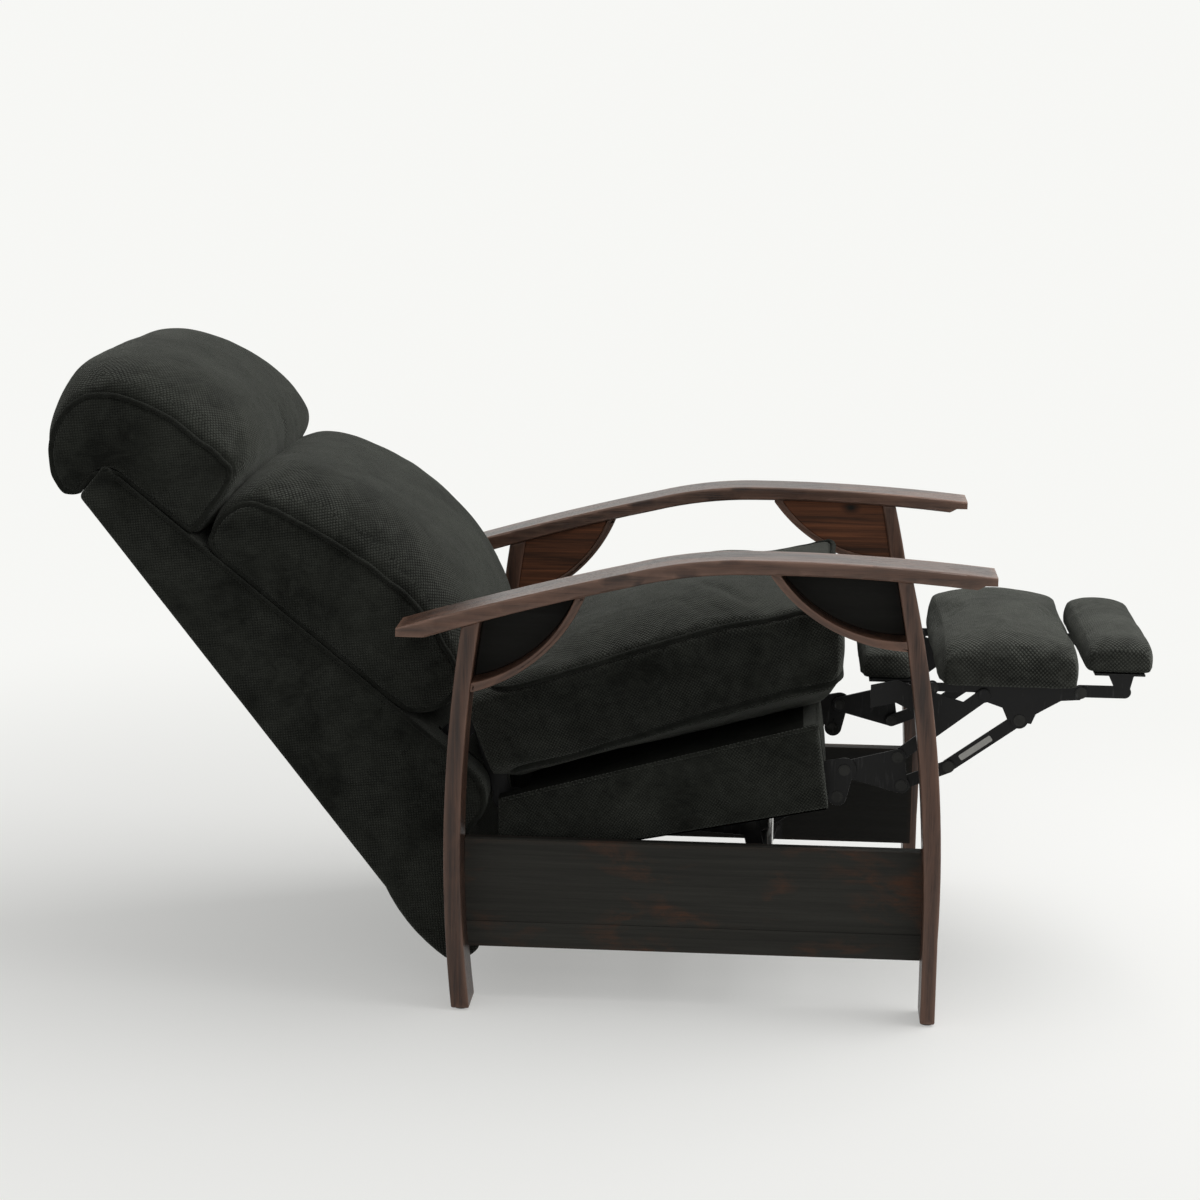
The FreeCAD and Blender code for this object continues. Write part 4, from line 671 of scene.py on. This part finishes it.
def timber_finish(name, turn, gloss):
    """Open-grained stained wood, rubbed lighter at its corners. turn brings the grain to X, in degrees."""
    timber = bpy.context.scene.recliner_timber
    f = Finish(name, Specular_IOR_Level=0.28, Coat_Weight=0.32, Coat_Roughness=0.25)
    run = f.mapped(f.place(), (1, 1, 1), (0, radians(turn), 0))
    fibres = f.noise(run, (5, 190, 190), 5, 0.66, 0.25)
    rings = f.noise(run, (1.5, 46, 46), 3, 0.5, 1.0)
    pores = f.spread(f.noise(run, (22, 700, 700), 2), 0.55, 0.66)
    cloud = f.spread(f.noise(run, (4.5, 14, 14), 4, 0.6, 0.6), 0.36, 0.66)
    fine = f.times(f.spread(fibres, 0.36, 0.66), 0.52)
    tone = f.plus(fine, f.times(f.spread(rings, 0.38, 0.62), 0.30))
    tone = f.plus(tone, f.times(f.minus(cloud, 0.48), 0.66))
    tone = f.minus(tone, f.times(pores, 0.24))
    wood = f.blend(tone, timber.stain_dark, timber.stain_light)
    patchy = f.spread(f.noise(run, (7, 60, 60), 4, 0.6, 0.4), 0.3, 0.7)
    worn = f.times(f.spread(f.edge_wear(), 0.1, 0.95), f.plus(f.times(patchy, 0.7), 0.22))
    f.link(f.blend(worn, wood, timber.rubbed), "Base Color")
    f.link(f.spread(f.plus(fibres, pores), 0.2, 1.4, gloss - 0.06, gloss + 0.16), "Roughness")
    f.link(f.bump(f.minus(fibres, pores), 0.0005, 0.55), "Normal")
    return f.material


def panel_finish(name, outside_rubbed):
    """Near-black stain over red-brown wood: rubbed in spots outside, or knotty wood on the inside."""
    dark = bpy.context.scene.recliner_timber.panel_dark
    warm = bpy.context.scene.recliner_timber.panel_warm
    f = Finish(name, Specular_IOR_Level=0.16)
    place = f.place()
    fibres = f.noise(place, (3.2, 40, 170), 6, 0.7, 0.35)
    boards = f.noise(place, (1.6, 20, 38), 4, 0.55, 0.8)
    streaks = f.spread(fibres, 0.32, 0.7)
    grain = f.plus(f.times(streaks, 0.6), f.times(f.spread(boards, 0.35, 0.65), 0.4))
    plain = f.blend(grain, shaded(dark, 0.5), shaded(dark, 1.1))
    facing = f.part(f.add("ShaderNodeNewGeometry").outputs["Normal"], 1)
    outward = f.math("GREATER_THAN", f.times(facing, f.part(place, 1)), 0)
    if outside_rubbed:
        zones = f.spread(f.noise(place, (6.5, 9, 14), 3, 0.55, 0.4), 0.50, 0.60)
        scrape = f.spread(f.noise(place, (15, 30, 38), 5, 0.7, 0.4), 0.42, 0.60)
        spots = f.times(f.times(zones, scrape), f.plus(streaks, 0.35))
        stained = f.blend(grain, dark, shaded(dark, 3.2))
        surface = f.blend(outward, plain, f.blend(spots, stained, warm))
    else:
        cells = f.add("ShaderNodeTexVoronoi", {"Vector": f.mapped(place, (11, 14, 17)), "Scale": 1})
        knots = f.spread(cells.outputs["Distance"], 0.04, 0.2)
        knotty = f.times(f.math("POWER", grain, 1.4), knots)
        bright = (warm[0] * 3.6, warm[1] * 2.6, warm[2] * 1.9)
        surface = f.blend(outward, f.blend(knotty, shaded(dark, 0.8), bright), plain)
    worn = f.spread(f.times(f.edge_wear(), f.plus(fibres, 0.2)), 0.3, 0.9)
    f.link(f.blend(f.times(worn, 0.18), surface, warm), "Base Color")
    f.link(f.spread(fibres, 0.3, 0.7, 0.55, 0.75), "Roughness")
    f.link(f.bump(fibres, 0.0008, 0.7), "Normal")
    return f.material


def raw_timber_finish(name):
    f = Finish(name, Roughness=0.75)
    fibres = f.noise(f.place(), (8, 60, 60), 4, 0.6, 0.5)
    f.link(f.blend(f.spread(fibres, 0.3, 0.7), (0.33, 0.21, 0.11), (0.55, 0.40, 0.25)), "Base Color")
    f.link(f.bump(fibres, 0.0004, 0.5), "Normal")
    return f.material


def metal_finish(name, rough, fleck, scuffed, colour=None, metallic=0.0):
    """Paint or plating with a faint orange peel, handling marks and uneven gloss."""
    colour = colour or bpy.context.scene.recliner_steel.paint
    f = Finish(name, Metallic=metallic, Specular_IOR_Level=0.18)
    place = f.place()
    marks = f.noise(place, 34, 4, 0.6, 0.6)
    peel = f.noise(place, 900, 2)
    scuff = f.spread(f.noise(f.mapped(place, (60, 60, 9)), 3, 4), 0.6, 0.72)
    tone = f.blend(f.spread(marks, 0.3, 0.7), colour, shaded(colour, fleck))
    f.link(f.blend(f.times(scuff, scuffed), tone, (0.2, 0.2, 0.2)), "Base Color")
    uneven = f.plus(marks, f.times(scuff, 0.3))
    f.link(f.spread(uneven, 0.3, 0.9, rough - 0.07, rough + 0.16), "Roughness")
    f.link(f.bump(peel, 0.0002, 0.25), "Normal")
    return f.material


def rubber_finish(name):
    f = Finish(name, Specular_IOR_Level=0.3)
    dust = f.noise(f.place(), 160, 3)
    f.link(f.blend(dust, (0.012, 0.012, 0.012), (0.05, 0.048, 0.045)), "Base Color")
    f.link(f.spread(dust, 0.3, 0.7, 0.7, 0.9), "Roughness")
    f.link(f.bump(dust, 0.0003, 0.5), "Normal")
    return f.material


# For each finish: the slot of the pieces that have it, how it is made, and what it is made from
RECIPES = {
    "charcoal_chenille": ("charcoal_chenille", cloth_finish, dict(weave=0.85)),
    # Piping: the seat cloth darkened to 0.8 as painted shade along the seams
    "piping_chenille": ("charcoal_chenille", cloth_finish, dict(
        weave=0.6, pitch=0.5, sheen=0.08, dark_share=0.8, light_share=0.8)),
    # Decking cloth: partly its own plainer cloth, partly painted shade, its colours darkened to 0.9 and 0.7
    # under the seat cushion
    "decking_cloth": ("charcoal_chenille", cloth_finish, dict(
        weave=0.4, pitch=0.5, sheen=0, dark_share=0.9, light_share=0.7)),
    "pad_chenille": ("pad_chenille", cloth_finish, dict(weave=1.0, pitch=1.1, colours="pad")),
    "walnut_along": ("dark_walnut", timber_finish, dict(turn=0, gloss=0.42)),
    "walnut_upright": ("dark_walnut", timber_finish, dict(turn=90, gloss=0.5)),
    "walnut_front_arc": ("dark_walnut", timber_finish, dict(turn=-28, gloss=0.48)),
    "walnut_rear_arc": ("dark_walnut", timber_finish, dict(turn=42, gloss=0.48)),
    "stained_panel": ("stained_board", panel_finish, dict(outside_rubbed=True)),
    "fan_panel": ("stained_board", panel_finish, dict(outside_rubbed=False)),
    "frame_pine": (None, raw_timber_finish, {}),
    "black_steel": ("black_steel", metal_finish, dict(rough=0.34, fleck=1.8, scuffed=0.12)),
    "rivet_steel": (None, metal_finish, dict(
        colour=(0.016, 0.016, 0.015), metallic=0.55, rough=0.3, fleck=2.2, scuffed=0.25)),
    "bare_label": ("black_steel", metal_finish, dict(
        colour=(0.50, 0.50, 0.47), rough=0.45, fleck=1.15, scuffed=0.3)),
    "plated_rod": (None, metal_finish, dict(
        colour=(0.55, 0.55, 0.54), metallic=1.0, rough=0.32, fleck=1.3, scuffed=0.1)),
    "spring_wire": (None, metal_finish, dict(
        colour=(0.16, 0.15, 0.14), metallic=1.0, rough=0.38, fleck=1.5, scuffed=0.2)),
    "glide_rubber": (None, rubber_finish, {}),
}

FINISHES = {}


def finish(name):
    """Each finish is made once, from its recipe and the user's colours."""
    if name not in FINISHES:
        _, maker, values = RECIPES[name]
        FINISHES[name] = maker(name, **values)
    return FINISHES[name]


# Groups of pieces

CARRIED_FINISHES = {
    "frame_pine": ("rear_cross_rail", "deck_side_rail_left", "deck_side_rail_right", "deck_front_rail",
                   "deck_rear_rail", "back_post_left", "back_post_right", "back_cross_rails"),
    "black_steel": ("front_cross_tube", "rear_cross_tube", "seat_spacers"),
    "rivet_steel": ("base_pins", "frame_bolts", "seat_pins", "carrier_rivets", "lower_link_rivets",
                    "ottoman_rivets"),
    "plated_rod": ("stop_rods",),
    "spring_wire": ("seat_springs", "back_springs"),
    "glide_rubber": ("foot_glides",),
}

# Finish and width of the rim that wears, for each board
BOARDS = {
    "arm_board": ("walnut_along", 0),
    "front_leg": ("walnut_upright", 0.004),
    "rear_leg": ("walnut_upright", 0.004),
    "front_bracket_arc": ("walnut_front_arc", 0.003),
    "rear_bracket_arc": ("walnut_rear_arc", 0.003),
    "front_fan_panel": ("fan_panel", 0),
    "rear_fan_panel": ("fan_panel", 0),
    "side_panel": ("stained_panel", 0),
}

PLATES = {
    "base_plate_left": "frame", "base_plate_right": "frame",
    "front_swing_links": "front_swing", "rear_swing_links": "rear_swing",
    "seat_plate_left": "seat", "seat_plate_right": "seat",
    "back_brackets": "back",
    "carrier_plates": "carrier",
    "upper_links": "upper_link", "lower_links": "lower_link", "front_links": "front_link",
    "ottoman_brackets": "ottoman",
    "foot_brackets": "foot_flap", "filler_brackets": "filler_flap",
}

# The filling of the back cushion and the head roll
BACK_FILLING = dict(fill=0.85, shrink=0.001, cap=0.030, firmness=2.0)


def grooved(bm, height, half, depth):
    """Cut a fine V groove along the outer face at one height."""
    for z in (height - half, height, height + half):
        cut(bm, (0, 0, z), UPRIGHT)
    outer = max(abs(v.co.y) for v in bm.verts)
    for vertex in bm.verts:
        if abs(vertex.co.z - height) < half / 2 and abs(vertex.co.y) > outer - half:
            vertex.co.y *= 1 - depth / outer


def board(node, finish_name, rim):
    """A board with eased edges, sliced finely enough to carry its wear."""
    timber = bpy.context.scene.recliner_timber
    bm = merged_copy(node)
    points = edge_samples(turned_edges(bm, CORNER_TURN if rim else CURVE_TURN), WEAR_STEP)
    eased = round_edges(bm, turned_edges(bm, CORNER_TURN), timber.edge_round, 3)
    if rim:
        strips = set(eased["faces"])
        bmesh.ops.inset_region(bm, faces=[f for f in bm.faces if f not in strips], thickness=rim)
    sliced(bm, BOARD_SLICE, (FORWARD, ACROSS, UPRIGHT))
    if node.startswith("side_panel"):
        grooved(bm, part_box(node)[0].z + timber.groove_height, half=0.0008, depth=0.0012)
    mesh = mesh_of(bm, node + "_dressed")
    mark_wear(mesh, points, WEAR_REACH)
    hard_piece(node, mesh, "frame", finish_name)


def upholstered_box(name, node, body, slope, half_width, wall, radius, side_puff, puff):
    """Cloth pulled over a boarded box: rounded rims and slightly filled panels, with the hollow kept."""
    bm = merged_copy(node)
    rims = [e for e in turned_edges(bm, RIM_TURN) if all(abs(v.co.y) > half_width - wall for v in e.verts)]
    low = Vector([min(v.co[i] for e in rims for v in e.verts) for i in range(3)])
    tree = tree_of(edge_samples(rims, RIM_STEP))
    round_edges(bm, rims, radius, 4)
    along, out = (Vector(axis) for axis in slope_axes(slope))
    sliced(bm, BOX_SLICE, (along, out, ACROSS))
    bm.normal_update()
    shift = {}
    for vertex in bm.verts:
        # The walls of slots and hollows stay as they are
        if abs(vertex.co.y) >= half_width - wall:
            height = side_puff if abs(vertex.co.y) > half_width - SIDE_FACE else puff
            fullness = 1 - exp(-tree.find(vertex.co)[2] / RIM_REACH)
            ripple = 0.35 * noise.noise(vertex.co * 7 + low) + 0.2 * noise.noise(vertex.co * 19)
            shift[vertex] = vertex.normal * height * fullness * (0.8 + ripple)
    for vertex, move in shift.items():
        vertex.co += move
    mesh = mesh_of(bm, name)
    lay_weave(mesh, slope)
    smooth_shaded(mesh, SOFT_SHADING)
    return piece(name, mesh, body, "charcoal_chenille", node)


class RECLINER_OT_stage(bpy.types.Operator):
    """Pale floor, soft overhead light and the camera"""
    bl_idname = "recliner.stage"
    bl_label = "Stage"

    def execute(self, context):
        scene = context.scene
        stage = scene.recliner_stage
        bm = bmesh.new()
        bmesh.ops.create_grid(bm, x_segments=2, y_segments=2, size=FLOOR_SIZE)
        mesh = mesh_of(bm, "floor")
        floor = linked("floor", mesh)
        mesh.materials.append(self.floor_finish(stage))
        self.world(scene, stage)
        self.lamp("key", stage.key_power, place=(1.75, 0.35, 2.55), target=(0.05, 0.0, 0.35), size=3.0)
        self.lamp("fill", stage.fill_power, place=(0.6, -3.2, 1.9), target=(0.0, 0.0, 0.45), size=2.2)
        self.camera(scene)
        scene.view_settings.view_transform = "Standard"
        return {"FINISHED"}

    def floor_finish(self, stage):
        """Paper that takes the shadow near the chair and runs out into the pale background."""
        material = bpy.data.materials.new("studio_paper")
        material.use_nodes = True
        f = Nodes(material.node_tree)
        f.tree.nodes.clear()
        seen = self.seen(f)
        paper = f.add("ShaderNodeBsdfDiffuse", {"Color": f.blend(seen, stage.paper, stage.paper_seen)})
        glow = f.add("ShaderNodeEmission", {"Color": BACKDROP})
        reach = f.add("ShaderNodeVectorMath", {0: f.place()}, operation="LENGTH")
        limits = {"From Min": FLOOR_NEAR, "From Max": FLOOR_FAR, "To Min": stage.glow_share}
        far = f.add("ShaderNodeMapRange", {"Value": reach.outputs["Value"], **limits},
                    interpolation_type="SMOOTHSTEP")
        share = f.times(far.outputs[0], seen)
        mix = f.add("ShaderNodeMixShader", {0: share, 1: paper.outputs[0], 2: glow.outputs[0]})
        f.add("ShaderNodeOutputMaterial", {"Surface": mix.outputs[0]})
        return material

    def seen(self, f):
        """1 for what the camera, a reflection or a clear piece shows, 0 for light on the object."""
        path = f.add("ShaderNodeLightPath")
        socket = path.outputs["Is Camera Ray"]
        for other in ("Is Glossy Ray", "Is Transmission Ray"):
            socket = f.math("MAXIMUM", socket, path.outputs[other])
        return socket

    def world(self, scene, stage):
        """Even light from all around, with the pale background where it is seen."""
        world = bpy.data.worlds.new("studio")
        scene.world = world
        world.use_nodes = True
        f = Nodes(world.node_tree)
        f.tree.nodes.clear()
        light = f.add("ShaderNodeBackground", {"Color": (1, 1, 1, 1), "Strength": stage.room})
        view = f.add("ShaderNodeBackground", {"Color": BACKDROP, "Strength": 1})
        mix = f.add("ShaderNodeMixShader", {0: self.seen(f), 1: light.outputs[0], 2: view.outputs[0]})
        f.add("ShaderNodeOutputWorld", {"Surface": mix.outputs[0]})

    def lamp(self, name, power, place, target, size):
        data = bpy.data.lights.new(name, "AREA")
        data.shape = "SQUARE"
        data.size = size
        data.energy = power
        lamp = linked(name, data)
        lamp.location = place
        lamp.rotation_euler = (Vector(target) - Vector(place)).to_track_quat("-Z", "Y").to_euler()

    def camera(self, scene):
        data = bpy.data.cameras.new("view")
        data.sensor_width = 36
        data.lens = CAMERA_LENS
        data.clip_end = 100
        camera = linked("view", data)
        turn = (Matrix.Rotation(-CAMERA_YAW, 4, "Z") @ Matrix.Rotation(pi / 2 - CAMERA_PITCH, 4, "X")
                @ Matrix.Rotation(CAMERA_ROLL, 4, "Z"))
        camera.matrix_world = Matrix.Translation(side_point(*CAMERA_PLACE)) @ turn
        scene.camera = camera


class RECLINER_OT_bare_frame(bpy.types.Operator):
    """Finishes for the frame nodes that stay as they are"""
    bl_idname = "recliner.bare_frame"
    bl_label = "Bare frame"

    def execute(self, context):
        for finish_name, nodes in CARRIED_FINISHES.items():
            for node in nodes:
                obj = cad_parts[node]
                if not obj.material_slots:
                    obj.data.materials.append(None)
                for holder in obj.material_slots:
                    holder.link = "OBJECT"
                    holder.material = finish(finish_name)
        return {"FINISHED"}


class RECLINER_OT_timber(bpy.types.Operator):
    """Arms, legs, curved mouldings and panels of both side frames"""
    bl_idname = "recliner.timber"
    bl_label = "Timber side frames"

    def execute(self, context):
        for side in ("left", "right"):
            for name, (finish_name, rim) in BOARDS.items():
                board(f"{name}_{side}", finish_name, rim)
        return {"FINISHED"}


class RECLINER_OT_steelwork(bpy.types.Operator):
    """Stamped links and plates with softened edges"""
    bl_idname = "recliner.steelwork"
    bl_label = "Steelwork"

    label_ends = ((0.359, 0.3335), (0.401, 0.364))
    label_thickness = 0.0007
    label_width = 0.0085
    label_corner = 0.002
    label_rim = 0.0009
    label_hollow = 0.00025

    def execute(self, context):
        radius = context.scene.recliner_steel.edge_round
        for node, body in PLATES.items():
            bm = merged_copy(node)
            round_edges(bm, turned_edges(bm, CORNER_TURN), radius, 2)
            hard_piece(node, mesh_of(bm, node + "_dressed"), body, "black_steel")
        self.label()
        return {"FINISHED"}

    def label(self):
        """Bare aluminium plate on the near link that pushes the main pad up."""
        start, end = self.label_ends
        along = side_point(*end, 0) - side_point(*start, 0)
        out = along.normalized().cross(ACROSS)
        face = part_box("front_links")[0].y
        centre = (side_point(*start, face) + side_point(*end, face)) / 2
        bm = bmesh.new()
        size = Matrix.Diagonal((along.length, self.label_thickness, self.label_width, 1))
        bmesh.ops.create_cube(bm, size=1, matrix=size)
        corners = [e for e in bm.edges if abs((e.verts[0].co - e.verts[1].co).y) > self.label_thickness / 2]
        round_edges(bm, corners, self.label_corner, 4)
        outer = [f for f in bm.faces if f.normal.y < -0.9]
        bmesh.ops.inset_region(bm, faces=outer, thickness=self.label_rim)
        inner = {v for f in outer for v in f.verts}
        bmesh.ops.translate(bm, verts=list(inner), vec=ACROSS * self.label_hollow)
        turn = Matrix((along.normalized(), ACROSS, out)).transposed().to_4x4()
        bmesh.ops.transform(bm, matrix=Matrix.Translation(centre) @ turn, verts=bm.verts)
        bmesh.ops.recalc_face_normals(bm, faces=bm.faces)
        mesh = mesh_of(bm, "link_label")
        smooth_shaded(mesh, LABEL_SHADING)
        piece("link_label", mesh, "front_link", "bare_label")


class RECLINER_OT_seat_cushion(bpy.types.Operator):
    """Crowned box cushion with piping round its top and bottom edges"""
    bl_idname = "recliner.seat_cushion"
    bl_label = "Seat cushion"

    top_side = ((-0.322, 0.417), (-0.191, 0.462), (-0.082, 0.501), (0.025, 0.534), (0.119, 0.561),
                (0.160, 0.571))
    low_side = ((-0.294, 0.303), (-0.162, 0.339), (-0.053, 0.382), (0.055, 0.417), (0.125, 0.437),
                (0.165, 0.447))
    top_front = (0.190, 0.578)
    low_front = (0.192, 0.456)
    corner_ends = (0.008, 0.05)
    rear_reach = 0.034
    crown_height = 0.025

    def seam(self, side, front):
        near = [side_point(x, z, -SEAM_Y) for x, z in side]
        corner = [side_point(*front, -SEAM_Y + inward) for inward in self.corner_ends]
        return round_the_front(near + corner)

    def execute(self, context):
        seams = [self.seam(self.top_side, self.top_front), self.seam(self.low_side, self.low_front)]
        rested = below(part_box("seat_cushion")[0].z)
        cushion("seat_cushion", "seat", seams, SEAT_SLOPE, rested, spacing=0.008, fill=0.8,
                shrink=0.003, cap=0.022, firmness=1.0, shape=self.wrapped)
        return {"FINISHED"}

    def wrapped(self, place, normal):
        """The rear corners reach back past the steel plates, and the top is crowned at the front."""
        outside = ramped(abs(place.y), 0.208, 0.230)
        rear = ramped(-place.x, 0.02, 0.13)
        upward = ramped(normal.z, 0.4, 0.9)
        front = ramped(place.x, -0.20, -0.02)
        before_edge = ramped(-place.x, -0.235, -0.165)
        crown = self.crown_height * middle_share(place) * upward * front * before_edge
        return place + Vector((-self.rear_reach * outside * rear, 0, crown))


def back_seams(outline):
    """The side outline of a back cushion as a seam on each side."""
    return [[back_point(s, d, side * SEAM_Y) for s, d in outline] for side in (-1, 1)]


class RECLINER_OT_back_cushion(bpy.types.Operator):
    """Lumbar cushion with a piped seam round each side"""
    bl_idname = "recliner.back_cushion"
    bl_label = "Back cushion"

    outline = (
        (0.356, 0.0), (0.367, -0.014), (0.369, -0.032), (0.367, -0.056), (0.361, -0.077), (0.351, -0.090),
        (0.339, -0.098), (0.298, -0.108), (0.244, -0.117), (0.182, -0.127), (0.123, -0.130), (0.074, -0.128),
        (0.026, -0.116), (-0.021, -0.097), (-0.036, -0.090), (-0.039, -0.061), (-0.036, -0.043),
        (-0.026, -0.023), (-0.013, -0.006), (0.010, 0.0), (0.180, 0.0),
    )

    def execute(self, context):
        cushion("back_cushion", "back", back_seams(self.outline), -BACK_SLOPE, against_back,
                spacing=0.008, shape=crowned(0.017), **BACK_FILLING)
        return {"FINISHED"}


class RECLINER_OT_head_roll(bpy.types.Operator):
    """Rolled headrest that hooks over the top of the back"""
    bl_idname = "recliner.head_roll"
    bl_label = "Head roll"

    outline = (
        (0.373, -0.005), (0.381, -0.030), (0.376, -0.079), (0.387, -0.105), (0.401, -0.112), (0.437, -0.113),
        (0.532, -0.106), (0.593, -0.079), (0.615, -0.045), (0.619, -0.022), (0.609, 0.022), (0.600, 0.041),
        (0.586, 0.056), (0.559, 0.070), (0.545, 0.068), (0.528, 0.059), (0.530, 0.016), (0.452, 0.0),
    )
    hook_height = 0.004

    def execute(self, context):
        cushion("head_roll", "back", back_seams(self.outline), -BACK_SLOPE, self.rested,
                spacing=0.0075, shape=crowned(0.013), **BACK_FILLING)
        return {"FINISHED"}

    def rested(self, place):
        """The roll lies on the front of the back and hooks over its top."""
        return against_back(place) and place.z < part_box("back_shell")[1].z + self.hook_height


class RECLINER_OT_back_shell(bpy.types.Operator):
    """Cloth over the wedge-shaped back, piped along its rims"""
    bl_idname = "recliner.back_shell"
    bl_label = "Back shell"

    half_width = 0.268
    rim = (
        (0.505, 0.001), (0.400, 0.001), (0.200, 0.001), (0.0, 0.001), (-0.100, 0.001), (-0.128, 0.003),
        (-0.150, 0.012), (-0.163, 0.026), (-0.168, 0.040), (-0.170, 0.062), (-0.176, 0.080), (-0.210, 0.112),
        (-0.262, 0.163),
    )

    def execute(self, context):
        shell = upholstered_box("back_shell_cover", "back_shell", "back", -BACK_SLOPE, self.half_width,
                                wall=0.02, radius=0.006, side_puff=0.004, puff=0.006)
        tree = surface_of(shell.data)
        for side, y in (("right", -self.half_width), ("left", self.half_width)):
            path = smooth_path([back_point(s, d, y) for s, d in self.rim], False)
            piped("back_shell_piping_" + side, path, tree, "back", cyclic=False, lift=0.3)
        return {"FINISHED"}


class RECLINER_OT_deck_cover(bpy.types.Operator):
    """Cloth over the seat deck"""
    bl_idname = "recliner.deck_cover"
    bl_label = "Seat deck"

    half_width = 0.265
    welt = ((-0.269, 0.277), (-0.100, 0.3235), (0.040, 0.3612), (0.130, 0.3855), (0.156, 0.392))
    welt_front = (0.162, 0.392)
    front_band = 0.032

    def execute(self, context):
        deck = upholstered_box("deck_cover_cloth", "deck_cover", "seat", DECK_SLOPE, self.half_width,
                               wall=0.002, radius=0.008, side_puff=0.006, puff=0.004)
        self.plain_inside_with_painted_shade(deck.data)
        near = [side_point(x, z, -self.half_width) for x, z in self.welt]
        corner = [side_point(*self.welt_front, y) for y in (-0.260, -0.200)]
        line = smooth_path(round_the_front(near + corner), False)
        piped("deck_cover_piping", line, surface_of(deck.data), "seat", cyclic=False, lift=0.2,
              finish_name="charcoal_chenille", thickness=0.8)
        return {"FINISHED"}

    def plain_inside_with_painted_shade(self, mesh):
        """Plainer decking cloth on the deck's top and in its hollow, made darker as painted shade under the
        seat cushion.
        """
        mesh.materials.append(finish("decking_cloth"))
        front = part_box("deck_cover")[1].x - self.front_band
        for face in mesh.polygons:
            inner = abs(face.center.y) < SEAM_Y and face.center.x < front
            if inner and (face.normal.z > 0.7 or abs(face.normal.x) > 0.9 or abs(face.normal.y) > 0.9):
                face.material_index = 1


class RECLINER_OT_legrest_pads(bpy.types.Operator):
    """Main pad, foot flap and filler flap of the legrest"""
    bl_idname = "recliner.legrest_pads"
    bl_label = "Legrest pads"

    pads = (("main_pad", "ottoman"), ("foot_pad", "foot_flap"), ("filler_pad", "filler_flap"))
    held_height = 0.004

    def execute(self, context):
        for node, body in self.pads:
            rested = below(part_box(node)[0].z + self.held_height)
            cushion(node, body, [], 0, rested, spacing=0.006, fill=0.8, shrink=0.002, cap=0.006,
                    firmness=0.6, finish_name="pad_chenille")
        return {"FINISHED"}


class RECLINER_PT_sidebar(bpy.types.Panel):
    """Lists the pieces of the recliner"""
    bl_idname = "RECLINER_PT_sidebar"
    bl_label = "Recliner"
    bl_space_type = "VIEW_3D"
    bl_region_type = "UI"
    bl_category = "Recliner"

    def draw(self, context):
        for group in GROUPS:
            settings = getattr(context.scene, group)
            box = self.layout.box()
            for name in settings.bl_rna.properties.keys():
                if name not in ("rna_type", "name"):
                    box.prop(settings, name)
        for operator in OPERATORS:
            self.layout.operator(operator.bl_idname)


GROUPS = {
    "recliner_upholstery": ReclinerUpholstery,
    "recliner_timber": ReclinerTimber,
    "recliner_steel": ReclinerSteel,
    "recliner_stage": ReclinerStage,
}

OPERATORS = (
    RECLINER_OT_stage,
    RECLINER_OT_bare_frame,
    RECLINER_OT_timber,
    RECLINER_OT_steelwork,
    RECLINER_OT_seat_cushion,
    RECLINER_OT_back_cushion,
    RECLINER_OT_head_roll,
    RECLINER_OT_back_shell,
    RECLINER_OT_deck_cover,
    RECLINER_OT_legrest_pads,
)


def register():
    for cls in (*GROUPS.values(), *OPERATORS, RECLINER_PT_sidebar):
        bpy.utils.register_class(cls)
    for name, group in GROUPS.items():
        setattr(bpy.types.Scene, name, PointerProperty(type=group))


def unregister():
    for name in GROUPS:
        delattr(bpy.types.Scene, name)
    for cls in (RECLINER_PT_sidebar, *reversed(OPERATORS), *GROUPS.values()):
        bpy.utils.unregister_class(cls)


def main():
    register()
    for operator in OPERATORS:
        group, name = operator.bl_idname.split(".")
        getattr(getattr(bpy.ops, group), name)()


if __name__ == "__main__":
    main()
